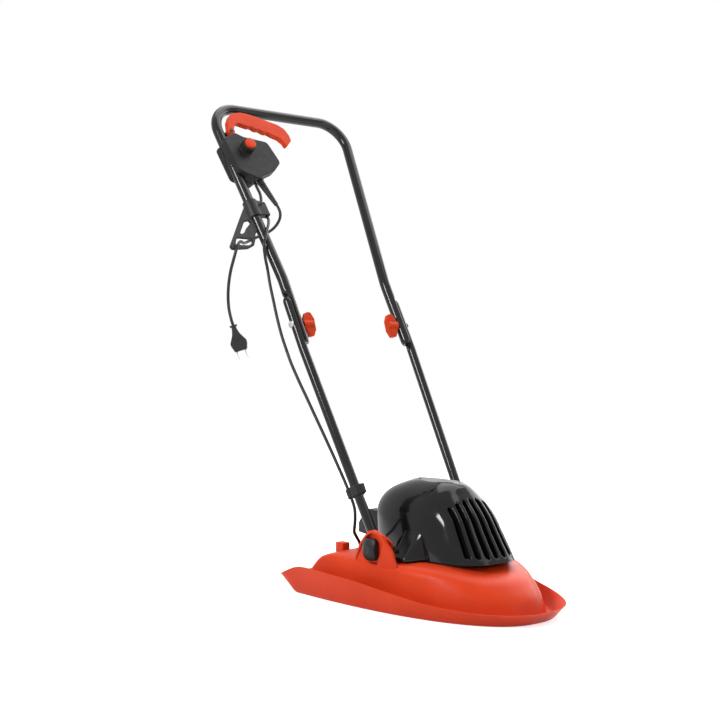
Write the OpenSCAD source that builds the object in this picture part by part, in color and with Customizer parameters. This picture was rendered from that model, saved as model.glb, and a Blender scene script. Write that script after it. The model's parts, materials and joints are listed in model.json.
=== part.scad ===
// Hover mower with a motor-driven blade, a two-part folding handle, a switch box and a supply lead
// Origin on the ground under the spindle, +X forward, +Y to the user's left, +Z up, millimetres

/* [Deck] */
// Half width of the hood's foot
deck_half = 181; // [165:1:210]
// Nose of the hood's foot ahead of the spindle
deck_nose = 243; // [225:1:280]
// Rear edge of the hood's foot behind the spindle
deck_rear = 307; // [290:1:340]
// Height of the flat top of the hood
deck_top = 94; // [90:1:98]
// Outward flare of the turned-up rim
rim_flare = 23; // [12:1:32]
// Wall thickness of the hood
hood_wall = 3; // [2.4:0.1:4]

/* [Cover] */
// Height of the motor cover above the hood
cover_h = 149; // [140:1:175]
// Half width of the motor cover
cover_half = 90; // [84:1:96]
// Louvre slots across the front
slot_count = 9; // [5:2:9]
// Distance between louvre slots
slot_pitch = 17; // [14:0.5:18]
// Width of a louvre slot
slot_w = 10; // [5:0.5:11]

/* [Handle] */
// Lean of the handle back from upright, degrees
lean = 29.3; // [20:0.1:40]
// Height of the handle pivots above the hood
pivot_up = 21; // [19:0.5:26]
// Handle pivots behind the spindle
pivot_back = 60; // [50:1:70]
// Handle pivots in from the edge of the hood's foot
pivot_in = 48; // [46:1:50]
// Fold bolts outward from the pivots
fold_out = 20; // [14:1:26]
// Pivot to fold bolt along the handle
fold_s = 511; // [480:1:540]
// Fold bolt to crossbar along the handle
upper_len = 574; // [560:1:620]
// Crossbar corners outward from the fold bolts
bar_out = 43; // [34:1:50]
// Radius of the bends at the crossbar
bar_bend = 66; // [40:1:72]
// Radius of the lower tubes
low_r = 10.2; // [9:0.1:10.4]
// Radius of the upper tube
up_r = 12; // [10:0.1:12.4]
// Tube wall
tube_wall = 1.4; // [1:0.1:2]

/* [Cutting] */
// Tip radius of the blade
blade_r = 134; // [120:1:136]
// Width of the blade
blade_w = 42; // [30:1:50]
// Vanes on the lift fan
vane_count = 8; // [5:1:12]
// Radius of the lift fan
fan_r = 84; // [70:1:90]

/* [Controls] */
// Depth of the front half of the switch box
box_d = 24; // [22:0.5:30]
// Depth of the rear half of the switch box
rear_d = 19; // [18:0.5:26]
// Radius of the lock button
button_r = 13; // [9:0.5:13.5]
// Thickness of the start lever
lever_t = 13; // [10:0.5:16]

/* [Lead] */
// Radius of the supply lead and motor cable
cord_r = 3.3; // [2:0.05:3.4]
// Radius of a plug pin
pin_r = 2.4; // [2:0.1:2.4]
// Distance between the plug pins
pin_gap = 19; // [17:0.5:19]

/* [Hidden] */
$fn = 48;
gap = 0.3;
fit = 0.05;
ring_n = 60;
pivot_z = deck_top + pivot_up;
pivot_half = deck_half - pivot_in;
fold_half = pivot_half + fold_out;
bar_half = fold_half + bar_out;
bar_s = fold_s + upper_len;
tray_t = 4;
lap = 0.15;
lap_len = 1;
collar_len = 3;
cover_z = deck_top + tray_t;
up_half = fold_half - 7;
flat_low = fold_half - 4;
flat_up = flat_low - gap;
bend_s = fold_s + 112;
low_end = fold_s + 64;
up_end = fold_s - 47;
flat_reach = 71;
splay = atan((bar_half - up_half) / (bar_s - bend_s));
bolt_r = 3;
pivot_r = 4;
shaft_r = 5;
ear_out = pivot_half + 17;
ear_in = pivot_half - 16;
ear_floor = ear_out - 1;
floor_t = 2.6;
ear_t = 5;
orange = [0.95, 0.30, 0.13];
black = [0.07, 0.07, 0.08];
dark = [0.16, 0.16, 0.17];
steel = [0.72, 0.72, 0.74];
copper = [0.72, 0.43, 0.20];

// Plain helpers
function unit(v) = v / norm(v);
function angle_of(v) = atan2(v[1], v[0]);
function turned(a) = a > 180 ? a - 360 : a < -180 ? a + 360 : a;

// A point given in handle terms: off the handle plane, across, along
function hp(x, y, s) = [
    -pivot_back + x * cos(lean) - s * sin(lean),
    y,
    pivot_z + x * sin(lean) + s * cos(lean)
];

// Centre line of the right upper leg at a distance along the handle
function leg_y(s) = s < bend_s ? -up_half : -up_half - (s - bend_s) * tan(splay);

// Polygon with its corners rounded by short straight steps
function corner(a, b, c, r, n) =
    let (
        d0 = unit(a - b),
        d1 = unit(c - b),
        half = acos(d0 * d1) / 2,
        centre = b + unit(d0 + d1) * r / sin(half),
        a0 = angle_of(b + d0 * r / tan(half) - centre),
        a1 = angle_of(b + d1 * r / tan(half) - centre),
        da = turned(a1 - a0)
    )
    [for (k = [0:n]) centre + r * [cos(a0 + da * k / n), sin(a0 + da * k / n)]];
function rounded(p, r, n = 4) =
    let (m = len(p))
    [for (i = [0:m - 1]) each corner(p[(i + m - 1) % m], p[i], p[(i + 1) % m], r, n)];

// Plan outline: long rounded nose, blunter rear
function outline(nose, rear, half, nf, nr, share) =
    let (mid = -rear + (nose + rear) * share)
    [for (i = [0:ring_n - 1])
        let (t = 360 * i / ring_n, c = cos(t), s = sin(t), n = c >= 0 ? nf : nr)
        [
            c >= 0 ? mid + (nose - mid) * pow(c, 2 / n) : mid - (mid + rear) * pow(-c, 2 / n),
            half * sign(s) * pow(abs(s), 2 / n)
        ]];
function lift(p, z) = [for (q = p) [q[0], q[1], z]];

// Closed skin through a stack of rings
module loft(rings) {
    n = len(rings[0]);
    m = len(rings);
    points = [for (r = rings) each r];
    sides = [for (k = [0:m - 2]) for (i = [0:n - 1])
        let (j = (i + 1) % n)
        each [
            [k * n + i, (k + 1) * n + j, k * n + j],
            [k * n + i, (k + 1) * n + i, (k + 1) * n + j]
        ]];
    low = [for (i = [0:n - 1]) i];
    high = [for (i = [n - 1:-1:0]) (m - 1) * n + i];
    polyhedron(points = points, faces = concat(sides, [low, high]), convexity = 8);
}

// Smooth curve through hand-chosen points
function curve_at(a, b, c, d, t) =
    0.5 * (2 * b + (c - a) * t + (2 * a - 5 * b + 4 * c - d) * t * t + (3 * b - a - 3 * c + d) * t * t * t);
function curve(p, n) =
    let (m = len(p))
    [for (i = [0:m - 2]) for (k = [0:n - 1])
        curve_at(p[max(i - 1, 0)], p[i], p[i + 1], p[min(i + 2, m - 1)], k / n), p[m - 1]];
function heading(p, i) = unit(p[min(i + 1, len(p) - 1)] - p[max(i - 1, 0)]);
function carried(p, i, v) =
    let (t = heading(p, i), w = unit(v - t * (v * t)))
    i == len(p) - 1 ? [w] : concat([w], carried(p, i + 1, w));

// Round cord swept along a list of points
module cord(p, r, n = 8) {
    normals = carried(p, 0, [0.37, 0.61, 0.70]);
    loft([for (i = [0:len(p) - 1])
        let (t = heading(p, i), u = normals[i], v = cross(t, u))
        [for (k = [0:n - 1]) p[i] + r * (u * cos(360 * k / n) - v * sin(360 * k / n))]]);
}

// Move from the plane of two numbers to the handle plane
module at_handle() {
    translate([-pivot_back, 0, pivot_z])
        rotate([0, -lean, 0])
            children();
}
module upright() {
    rotate([90, 0, 90])
        children();
}

// Hollow round tube along a bent line in a plane
module tube_ring(r, grow = 0) {
    difference() {
        circle(r = r + grow);
        circle(r = r - tube_wall - grow);
    }
}
module bent_tube(p, bends, r) {
    m = len(p);
    cut = [for (k = [0:m - 1]) k == 0 || k == m - 1 ? 0 :
        bends[k - 1] * tan(abs(turned(angle_of(p[k + 1] - p[k]) - angle_of(p[k] - p[k - 1]))) / 2)];
    for (k = [0:m - 2]) {
        d = unit(p[k + 1] - p[k]);
        early = k == 0 ? 0 : lap_len;
        late = k == m - 2 ? 0 : lap_len;
        translate(p[k] + d * (cut[k] - early))
            rotate([0, 0, angle_of(d)])
                rotate([0, 90, 0])
                    linear_extrude(norm(p[k + 1] - p[k]) - cut[k] - cut[k + 1] + early + late)
                        tube_ring(r);
    }
    for (k = [1:m - 2]) {
        d0 = unit(p[k] - p[k - 1]);
        d1 = unit(p[k + 1] - p[k]);
        turn = turned(angle_of(d1) - angle_of(d0));
        hub = p[k] - d0 * cut[k] + sign(turn) * bends[k - 1] * [-d0[1], d0[0]];
        first = turn > 0 ? p[k] - d0 * cut[k] : p[k] + d1 * cut[k];
        translate(hub)
            rotate([0, 0, angle_of(first - hub)])
                rotate_extrude(angle = abs(turn))
                    translate([bends[k - 1], 0])
                        tube_ring(r, lap);
    }
}

// Tube flattened on its +Y side, with a wall that closes the step to the round tube below it
module flat_section(r, keep) {
    intersection() {
        circle(r = r);
        translate([-2 * r, keep - 4 * r])
            square([4 * r, 4 * r]);
    }
}
module flat_tube(r, keep, h) {
    linear_extrude(h)
        difference() {
            flat_section(r, keep);
            flat_section(r - tube_wall, keep - tube_wall);
        }
    translate([0, 0, -collar_len])
        linear_extrude(collar_len)
            tube_ring(r, lap);
    translate([0, 0, -tube_wall])
        linear_extrude(tube_wall)
            intersection() {
                circle(r = r - 0.5);
                translate([-2 * r, keep - tube_wall])
                    square([4 * r, 4 * r]);
            }
}

// Bar of a given radius between two points of the handle
module rod(a, b, r1, r2) {
    d = b - a;
    translate(a)
        rotate([0, acos(d[2] / norm(d)), atan2(d[1], d[0])])
            cylinder(r1 = r1, r2 = r2, h = norm(d));
}
module across(r, y0, y1) {
    translate([0, y0, 0])
        rotate([-90, 0, 0])
            cylinder(r = r, h = y1 - y0);
}
module left_copy() {
    mirror([0, 1, 0])
        children();
}

// Hood sections: inset along, inset across, height as a share of the top
hood_rows = [[17, 13, 0.037], [21, 14.5, 0.16], [34, 17, 0.479], [52, 20, 0.702], [70, 24, 0.851],
    [100, 33, 0.947], [118, 60, 1]];
rim_rows = [[-400, 33], [-290, 33], [-262, 45], [-236, 58], [-212, 64], [-150, 62], [-60, 57], [20, 46],
    [90, 35], [180, 27], [300, 23]];
function hood_ring(along, side, z) =
    lift(outline(deck_nose - along, deck_rear - along, deck_half - side, 2.416, 3, 0.091), z);
function rim_ring(out, drop) =
    let (foot = outline(deck_nose, deck_rear, deck_half, 2.416, 3, 0.091))
    [for (i = [0:ring_n - 1])
        let (q = outline(deck_nose + out, deck_rear + out, deck_half + out, 2.416, 3, 0.091)[i])
        [q[0], q[1], lookup(foot[i][0], rim_rows) - drop]];

module hood_skin() {
    loft(concat(
        [hood_ring(0, 0, 0), rim_ring(rim_flare, 0), rim_ring(rim_flare - 2.6, 0), hood_ring(2, 2, 3.5)],
        [for (row = hood_rows) hood_ring(row[0], row[1], row[2] * deck_top)]
    ));
}
module hood_hollow() {
    loft(concat(
        [hood_ring(hood_rows[0][0] + hood_wall, hood_rows[0][1] + hood_wall, -1)],
        [for (row = hood_rows) hood_ring(row[0] + hood_wall, row[1] + hood_wall,
            row[2] * deck_top - (row[2] > 0.9 ? hood_wall : 1))]
    ));
}

// Side views of an outer ear, the sunk place round its knob, and the lower inner ear
ear_side = [[-58, -65], [-55, -34], [-51, -21], [-36, 5], [-25, 17], [-14, 27], [-4, 36], [8, 39], [24, 35],
    [34, 30], [41, 22], [46, 15], [63, -1], [72, -23], [76, -36], [78, -65]];
sunk_side = [[-46, -21], [-31, 3], [-20, 15.5], [-10, 25], [0, 31], [9, 33], [22, 29.5], [31, 23], [38, 15],
    [17, -23], [12, -70], [-54, -70]];
inner_side = [[-56, -65], [-50, -30], [-40, -8], [-28, 10], [-16, 22], [-6, 26], [6, 22.5], [20, 15.5],
    [26, 12], [27, -65]];
rim_up = 9;
rim_lean = 6.2;
module side_plate(p, y0, y1) {
    translate([-pivot_back, y1, pivot_z])
        rotate([90, 0, 0])
            linear_extrude(y1 - y0)
                polygon(p);
}
module ear_rim() {
    difference() {
        translate([-pivot_back, -ear_floor, pivot_z])
            rotate([90, 0, 0])
                linear_extrude(rim_up)
                    difference() {
                        polygon(rounded(ear_side, 4));
                        polygon(rounded(sunk_side, 3));
                    }
        translate([-pivot_back, -ear_out, pivot_z - 27])
            rotate([rim_lean, 0, 0])
                translate([-150, -60, -100])
                    cube([300, 60, 300]);
    }
}
module ear() {
    side_plate(rounded(ear_side, 4), -ear_floor, -ear_floor + floor_t);
    ear_rim();
    side_plate(rounded(inner_side, 3), -ear_in - ear_t, -ear_in);
}
cover_screws = [[62, -46], [62, 46], [-128, -42], [-128, 42]];
grommet_at = [-deck_rear + 147, -deck_half + 86];

module deck_hood() {
    color(orange)
    difference() {
        union() {
            hood_skin();
            ear();
            left_copy()
                ear();
            translate([-deck_rear + 89, -deck_half + 65, deck_top - 34])
                cube([24, 20, 46]);
        }
        hood_hollow();
        translate([0, 0, deck_top - 20])
            cylinder(r = 24, h = 40);
        for (q = cover_screws)
            translate([q[0], q[1], deck_top - 20])
                cylinder(r = 2.3, h = 40);
        translate([grommet_at[0], grommet_at[1], deck_top - 20])
            cylinder(r = 5 + fit, h = 40);
        translate([-pivot_back, 0, pivot_z])
            across(pivot_r + fit, -ear_out - 20, ear_out + 20);
    }
}

// Motor cover sections: front, rear, share of the half width, share of the height
cover_rows = [[144, 161, 1, 0], [129, 169, 1, 0.145], [110, 175, 0.967, 0.342], [92, 176, 0.911, 0.54],
    [72, 166, 0.8, 0.704], [53, 143, 0.644, 0.836], [39, 107, 0.44, 0.934], [24, 77, 0.27, 0.98],
    [5, 51, 0.06, 1]];
function cover_ring(row, inset, z) =
    lift(outline(row[0] - inset, row[1] - inset, max(row[2] * cover_half - inset, 1), 3, 2.6, 0.5), z);
module cover_body(inset) {
    loft([for (row = cover_rows)
        cover_ring(row, inset, cover_z + row[3] * (cover_h - max(inset, 0)))]);
}
module cover_hollow() {
    loft(concat(
        [cover_ring(cover_rows[0], 2.6, cover_z - 1)],
        [for (k = [1:7]) cover_ring(cover_rows[k], 2.8, cover_z + cover_rows[k][3] * cover_h - k * 0.45)]
    ));
}

// Louvre slots with round ends, and the fins that stand behind the bars between them
fin_depth = 12;
slot_low = cover_z + 14;
function slot_y(k) = (k - (slot_count - 1) / 2) * slot_pitch;
function slot_rise(y) = cover_h * (0.72 - 0.000027 * y * y);
function slot_lean(y) = atan(0.0015 * y);
module slot_cut(y) {
    translate([20, y, slot_low])
        rotate([slot_lean(y), 0, 0])
            upright()
                linear_extrude(200)
                    union() {
                        circle(r = slot_w / 2);
                        translate([-slot_w / 2, 0])
                            square([slot_w, slot_rise(y)]);
                        translate([0, slot_rise(y)])
                            circle(r = slot_w / 2);
                    }
}
module fins() {
    difference() {
        cover_body(1.5);
        cover_body(fin_depth);
        cylinder(r = motor_r + 2, h = cap_z + 14);
        translate([-400, -200, 0])
            cube([420, 400, 400]);
        translate([0, -200, slot_low + slot_rise(0) + slot_w])
            cube([300, 400, 200]);
        for (d = [0, 1])
            mirror([0, d, 0])
                translate([0, slot_y(slot_count - 1) + slot_pitch - slot_w / 2, 0])
                    cube([300, 200, 400]);
    }
}
foot_x = [-pivot_back + 28.5, -pivot_back + 70];
foot_drop = 2.5;
tray_half = cover_half - 6;
module side_foot() {
    inner = -cover_half + 10;
    outer = -ear_in - 9;
    translate([foot_x[0], 0, cover_z])
        upright()
            linear_extrude(foot_x[1] - foot_x[0])
                polygon([[inner, 0], [-tray_half - 1, 0], [-tray_half - 1, -foot_drop], [outer, -foot_drop],
                    [outer, 6], [outer + 14, 24], [inner, 34]]);
}

// Leaf-shaped badge place that follows the crown
badge_x = -27.5;
badge_half = 58;
badge_w = 27;
badge_sink = 1.8;
badge_t = 1.4;
module leaf(grow) {
    reach = (badge_half * badge_half / badge_w + badge_w) / 2;
    translate([badge_x, 0, cover_z + 0.8 * cover_h])
        linear_extrude(cover_h)
            intersection_for (d = [-1, 1])
                translate([0, d * (reach - badge_w)])
                    circle(r = reach + grow);
}

module motor_cover() {
    color(black)
    union() {
        difference() {
            union() {
                difference() {
                    union() {
                        cover_body(0);
                        side_foot();
                        left_copy()
                            side_foot();
                    }
                    cover_hollow();
                }
                fins();
            }
            for (k = [0:slot_count - 1])
                slot_cut(slot_y(k));
            difference() {
                leaf(gap);
                cover_body(badge_sink);
            }
        }
        intersection() {
            cover_body(1);
            for (q = cover_screws)
                translate([q[0], q[1], cover_z])
                    difference() {
                        cylinder(r = 6, h = cover_h);
                        translate([0, 0, -1])
                            cylinder(r = 2.1, h = 16);
                    }
        }
    }
}
module badge_plate() {
    color(dark)
        difference() {
            intersection() {
                cover_body(badge_sink - badge_t);
                leaf(0);
            }
            cover_body(badge_sink);
        }
}
module motor_tray() {
    color(black)
        translate([0, 0, deck_top])
            difference() {
                linear_extrude(tray_t)
                    polygon(outline(122, 152, tray_half, 3, 2.6, 0.5));
                translate([0, 0, -1])
                    cylinder(r = 16, h = tray_t + 2);
                for (q = cover_screws)
                    translate([q[0], q[1], -1])
                        cylinder(r = 2.3, h = tray_t + 2);
            }
}

// Hollow pod on the back of the cover: side view swept across, its front cut to the cover's shape
pod_half = 52;
pod_back = cover_rows[2][1] + 56;
pod_side = [[-120, 20], [-120, 74], [-pod_back + 45, 79], [-pod_back + 31, 72], [-pod_back + 19, 56],
    [-pod_back, 30], [-pod_back + 1, 28], [-pod_back + 31, 25]];
pod_room = [[-120, 24], [-120, 70], [-pod_back + 45, 75.5], [-pod_back + 33, 70], [-pod_back + 21.5, 54],
    [-pod_back + 4, 31], [-pod_back + 31, 28]];
pod_plan = [[-110, -pod_half], [-110, pod_half], [-pod_back + 12, pod_half], [-pod_back - 2, 40],
    [-pod_back - 2, -40], [-pod_back + 12, -pod_half]];
module pod_bar(p, half) {
    translate([0, half, 0])
        rotate([90, 0, 0])
            linear_extrude(2 * half)
                polygon(p);
}
module rear_pod() {
    color(dark)
        difference() {
            translate([0, 0, deck_top])
                difference() {
                    intersection() {
                        pod_bar(pod_side, pod_half);
                        linear_extrude(130)
                            polygon(rounded(pod_plan, 6));
                    }
                    pod_bar(pod_room, pod_half - 3);
                }
            cover_body(-gap);
        }
}
module cover_screw(k) {
    color(steel)
        translate([cover_screws[k][0], cover_screws[k][1], deck_top - hood_wall])
            union() {
                translate([0, 0, -3])
                    cylinder(r = 4, h = 3);
                cylinder(r = 2, h = hood_wall + tray_t + 13);
            }
}

// Motor, from the tray up
frame_z = cover_z;
stator_z = frame_z + 14;
stator_h = 50;
cap_z = frame_z + 88;
motor_r = 56;
module motor_frame() {
    color(dark)
        translate([0, 0, frame_z])
            difference() {
                union() {
                    cylinder(r = motor_r, h = 5);
                    cylinder(r = 46, h = 24);
                    for (a = [0:90:270])
                        rotate([0, 0, a])
                            translate([50, 0, 0])
                                cylinder(r = 5, h = 88);
                }
                translate([0, 0, 14])
                    cylinder(r = 41 + fit, h = 80);
                translate([0, 0, 12])
                    cylinder(r = 36, h = 80);
                translate([0, 0, 1])
                    cylinder(r = 13 + fit, h = 40);
                translate([0, 0, -1])
                    cylinder(r = 9, h = 40);
            }
}
module stator_core() {
    color(steel)
        translate([0, 0, stator_z])
            difference() {
                cylinder(r = 41, h = stator_h);
                translate([0, 0, -1])
                    cylinder(r = 25.6, h = stator_h + 2);
            }
}
module field_coil(a) {
    color(copper)
        translate([0, 0, stator_z + stator_h])
            rotate([0, 0, a])
                rotate_extrude(angle = 130)
                    translate([28, 0])
                        square([9, 9]);
}
module motor_end_cap() {
    color(dark)
        translate([0, 0, cap_z])
            difference() {
                union() {
                    cylinder(r = motor_r, h = 4);
                    cylinder(r = 16, h = 12);
                }
                translate([0, 0, 1.5])
                    cylinder(r = 11 + fit, h = 20);
                translate([0, 0, -1])
                    cylinder(r = 8, h = 20);
            }
}
module bearing(z, r, h) {
    color(steel)
        translate([0, 0, z])
            difference() {
                cylinder(r = r, h = h);
                translate([0, 0, -1])
                    cylinder(r = shaft_r + fit, h = h + 2);
            }
}
module brush_box() {
    color(dark)
        translate([-7, -36, cap_z - 14])
            difference() {
                cube([14, 22, 14]);
                translate([3.9, -1, 2.9])
                    cube([6.2, 24, 8.2]);
            }
}
module brush() {
    color(black)
        translate([-3, -32, cap_z - 11])
            cube([6, 19.6, 8]);
}
module terminal_block() {
    color(dark)
        translate([-118, -34, cover_z])
            difference() {
                cube([44, 22, 15]);
                for (k = [0:2])
                    translate([8 + 14 * k, 11, 5])
                        cylinder(r = 3, h = 20);
            }
}
module capacitor() {
    color(copper)
        translate([-118, 24, cover_z + 9])
            rotate([0, 90, 0])
                cylinder(r = 9, h = 40);
}
module cable_grommet() {
    color(black)
        translate([grommet_at[0], grommet_at[1], deck_top])
            difference() {
                union() {
                    translate([0, 0, -6])
                        cylinder(r = 5, h = 7);
                    cylinder(r = 8, h = 4);
                }
                translate([0, 0, -10])
                    cylinder(r = cord_r + gap, h = 30);
            }
}

// Pivot bolts and their black domed knobs
module pivot_bolt() {
    color(steel)
        translate([-pivot_back, 0, pivot_z])
            union() {
                across(pivot_r, -ear_out - 9, -ear_in);
                translate([0, -ear_in, 0])
                    rotate([-90, 0, 0])
                        cylinder(r = 8, h = 5, $fn = 6);
            }
}
knob_side = [[-18, -22], [18, -22], [18, 22], [-18, 22]];
knob_h = 15;
module pivot_knob() {
    color(black)
        translate([-pivot_back, -ear_floor, pivot_z])
            rotate([90, 0, 0])
                difference() {
                    intersection() {
                        linear_extrude(knob_h)
                            polygon(rounded(knob_side, 9));
                        translate([0, 0, -22])
                            sphere(r = 38);
                    }
                    translate([0, 0, -1])
                        cylinder(r = pivot_r + fit, h = 12);
                }
}

// Turning parts on the spindle
module on_shaft(z, r, h) {
    translate([0, 0, z])
        difference() {
            cylinder(r = r, h = h);
            translate([0, 0, -1])
                cylinder(r = shaft_r + fit, h = h + 2);
        }
}
fan_z = deck_top - 18;
blade_z = 33;
shaft_low = 21;
module spindle() {
    color(steel)
        translate([0, 0, shaft_low])
            cylinder(r = shaft_r, h = cap_z + 12 - shaft_low);
}
module armature() {
    color(steel)
        on_shaft(stator_z, 25, stator_h);
}
module commutator() {
    color(copper)
        on_shaft(cap_z - 14, 12, 12);
}
module lift_fan() {
    color(black)
        difference() {
            union() {
                translate([0, 0, 48])
                    cylinder(r = 14, h = fan_z - 48);
                translate([0, 0, fan_z - 3])
                    cylinder(r = fan_r, h = 3);
                for (k = [0:vane_count - 1])
                    rotate([0, 0, 360 * k / vane_count])
                        translate([12, -1.5, 50])
                            cube([fan_r - 14, 3, fan_z - 51]);
            }
            translate([0, 0, 40])
                cylinder(r = shaft_r + fit, h = 60);
        }
}
module height_spacers() {
    color(dark)
        union() {
            on_shaft(blade_z + 3, 20, 5.7);
            on_shaft(blade_z + 8.7, 18, 6.3);
        }
}
module cutting_blade() {
    color(steel)
        translate([0, 0, blade_z])
            difference() {
                linear_extrude(3)
                    polygon(rounded([[-blade_r, -blade_w / 2 + 8], [-blade_r * 0.62, -blade_w / 2],
                        [blade_r * 0.62, -blade_w / 2], [blade_r, -blade_w / 2 + 3],
                        [blade_r, blade_w / 2 - 8], [blade_r * 0.62, blade_w / 2],
                        [-blade_r * 0.62, blade_w / 2], [-blade_r, blade_w / 2 - 3]], 3));
                translate([0, 0, -1])
                    cylinder(r = shaft_r + fit, h = 5);
                for (d = [-1, 1])
                    translate([d * (blade_r - 20), d * (blade_w / 2 - 2), 4.2])
                        rotate([d * -30, 0, 0])
                            cube([60, 14, 4], center = true);
            }
}
module blade_washer() {
    color(steel)
        on_shaft(blade_z - 3, 17, 3);
}
module blade_nut() {
    color(steel)
        translate([0, 0, blade_z - 12])
            difference() {
                cylinder(r = 11, h = 9, $fn = 6);
                translate([0, 0, -1])
                    cylinder(r = shaft_r + fit, h = 20);
            }
}

// Lower handle: two bowed tubes with flattened tops
low_bend_s = fold_s - 61;
low_line = [[-pivot_half, 0], [-fold_half, low_bend_s], [-fold_half, low_end]];
low_dir = unit(low_line[1] - low_line[0]);
low_start = low_line[0] + low_dir * 15;
low_flat_s = fold_s - 53;
module lower_tube() {
    color(black)
        at_handle()
            difference() {
                union() {
                    upright()
                        bent_tube([low_start, low_line[1], [-fold_half, low_flat_s - collar_len / 2]],
                            [150], low_r);
                    translate([0, -fold_half, low_flat_s])
                        flat_tube(low_r, fold_half - flat_low, low_end - low_flat_s);
                }
                translate([0, 0, fold_s])
                    across(bolt_r + fit, -fold_half - 30, -fold_half + 30);
            }
}
module tube_foot() {
    plug_r = low_r - tube_wall - fit;
    base = [0, -pivot_half, 0];
    along = [0, low_dir[0], low_dir[1]];
    color(dark)
        at_handle()
            difference() {
                union() {
                    translate(base)
                        across(13.5, -9.4, 9.4);
                    rod(base, base + along * 55, plug_r, plug_r);
                    rod(base, base + along * 14.8, low_r, low_r);
                }
                translate(base)
                    across(pivot_r + fit, -20, 20);
            }
}
module fold_bolt() {
    color(steel)
        at_handle()
            translate([0, 0, fold_s])
                union() {
                    across(bolt_r, -fold_half - low_r - 1, -up_half + up_r + 20);
                    across(7.5, -fold_half - low_r - 2.2, -fold_half - low_r);
                    across(5.5, -fold_half - low_r - 4, -fold_half - low_r - 2);
                }
}

// Wing knob that clamps the fold: hub and two wings that spread away from the tube
wing_side = [[-9, 2], [-27, 11], [-27, 22], [-12, 30], [12, 30], [27, 22], [27, 11], [9, 2]];
wing_t = 13;
module wing_knob() {
    face = -up_half + up_r + gap;
    color(orange)
        at_handle()
            translate([0, face, fold_s])
                rotate([-90, 0, 0])
                    rotate([0, 0, 12])
                        difference() {
                            union() {
                                cylinder(r = 10, h = 26);
                                slab(rounded(wing_side, 4), -wing_t / 2, wing_t / 2);
                            }
                            translate([0, 0, -1])
                                cylinder(r = bolt_r + fit, h = 21.5);
                        }
}

// Clip that holds the motor cable on the right lower tube
clip_s = 118;
function low_y(s) = low_line[0][0] + low_dir[0] / low_dir[1] * s;
clip_cable = [-13, low_y(clip_s + 6) - 9.5, clip_s + 6];
module lower_clip() {
    a = [0, low_y(clip_s - 5), clip_s - 5];
    b = [0, low_y(clip_s + 17), clip_s + 17];
    c = [clip_cable[0], clip_cable[1] + 0.5, clip_s - 4];
    d = [clip_cable[0], clip_cable[1] - 0.5, clip_s + 16];
    color(black)
        at_handle()
            difference() {
                union() {
                    rod(a, b, low_r + 3, low_r + 3);
                    rod(c, d, cord_r + 2.6, cord_r + 2.6);
                    translate([8, low_y(clip_s) + 2, clip_s - 4])
                        cube([9, 8, 20]);
                }
                rod(a - (b - a), b + (b - a), low_r + fit, low_r + fit);
                rod(c - (d - c), d + (d - c), cord_r + 0.6, cord_r + 0.6);
            }
}

// Upper handle: one tube bent to a long bow, flattened where it meets the lower tubes
up_flat_s = fold_s + flat_reach;
up_line = [[-up_half, up_flat_s + collar_len / 2], [-up_half, bend_s], [-bar_half, bar_s], [bar_half, bar_s],
    [up_half, bend_s], [up_half, up_flat_s + collar_len / 2]];
up_bends = [120, bar_bend, bar_bend, 120];
module upper_flat() {
    translate([0, -up_half, up_flat_s])
        rotate([180, 0, 0])
            difference() {
                flat_tube(up_r, flat_up - up_half, up_flat_s - up_end);
                translate([0, 0, up_flat_s - fold_s])
                    across(bolt_r + fit, -30, 30);
            }
}
module upper_tube() {
    color(black)
        at_handle()
            union() {
                upright()
                    bent_tube(up_line, up_bends, up_r);
                upper_flat();
                left_copy()
                    upper_flat();
            }
}

// Switch box: places are given from the crossbar down
function bp(y, s) = [y + 196 - bar_half, s - 1085 + bar_s];
front_side = [bp(-199, 978), bp(-163, 998), bp(-143, 989), bp(-79, 982), bp(-60, 927), bp(-83, 903),
    bp(-140, 875), bp(-185, 893)];
rear_side = [bp(-198, 973), bp(-163, 996), bp(-143, 988), bp(-92, 979), bp(-76, 929), bp(-93, 908),
    bp(-140, 875), bp(-186, 890)];
hollow_side = [bp(-165, 966), bp(-160, 989), bp(-145, 985), bp(-82, 978), bp(-64.5, 928), bp(-85, 907),
    bp(-138, 880), bp(-162, 889)];
rear_room = [bp(-165, 966), bp(-160, 989), bp(-145, 984), bp(-95, 975), bp(-80.5, 930), bp(-95, 912),
    bp(-138, 880), bp(-162, 889)];
button_at = bp(-146, 955);
lever_at = bp(-164, 1008);
relief_at = bp(-118, 885.8);
relief_dir = [0, 0.37, -0.929];
exit_at = bp(-133, 878.4);
box_wall = 2.5;
ring_up = 18;
module slab(p, x0, x1) {
    translate([x0, 0, 0])
        upright()
            linear_extrude(x1 - x0)
                polygon(p);
}
module pole(q, r, x0, x1) {
    translate([x0, q[0], q[1]])
        rotate([0, 90, 0])
            cylinder(r = r, h = x1 - x0);
}
module box_holes() {
    s0 = bar_s - 240;
    s1 = bar_s - 70;
    rod([0, leg_y(s0), s0], [0, leg_y(s1), s1], up_r + fit, up_r + fit);
    rod([0, relief_at[0], relief_at[1]] - relief_dir * 12, [0, relief_at[0], relief_at[1]] + relief_dir * 12,
        6 + fit, 6 + fit);
    rod([0, exit_at[0], exit_at[1] + 12], [0, exit_at[0], exit_at[1] - 12], cord_r + gap, cord_r + gap);
}
tail_slot = [bp(-172, 980), bp(-154, 980), bp(-154, 1002), bp(-172, 1002)];
module switch_front() {
    color(dark)
        at_handle()
            difference() {
                union() {
                    slab(rounded(front_side, 12), 0, box_d);
                    pole(button_at, button_r + 4, box_d - 1, box_d + ring_up);
                }
                slab(rounded(hollow_side, 2), -1, box_d - box_wall);
                slab(tail_slot, -1, 19);
                pole(button_at, button_r + fit, 0, box_d + ring_up + 1);
                box_holes();
            }
}
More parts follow.
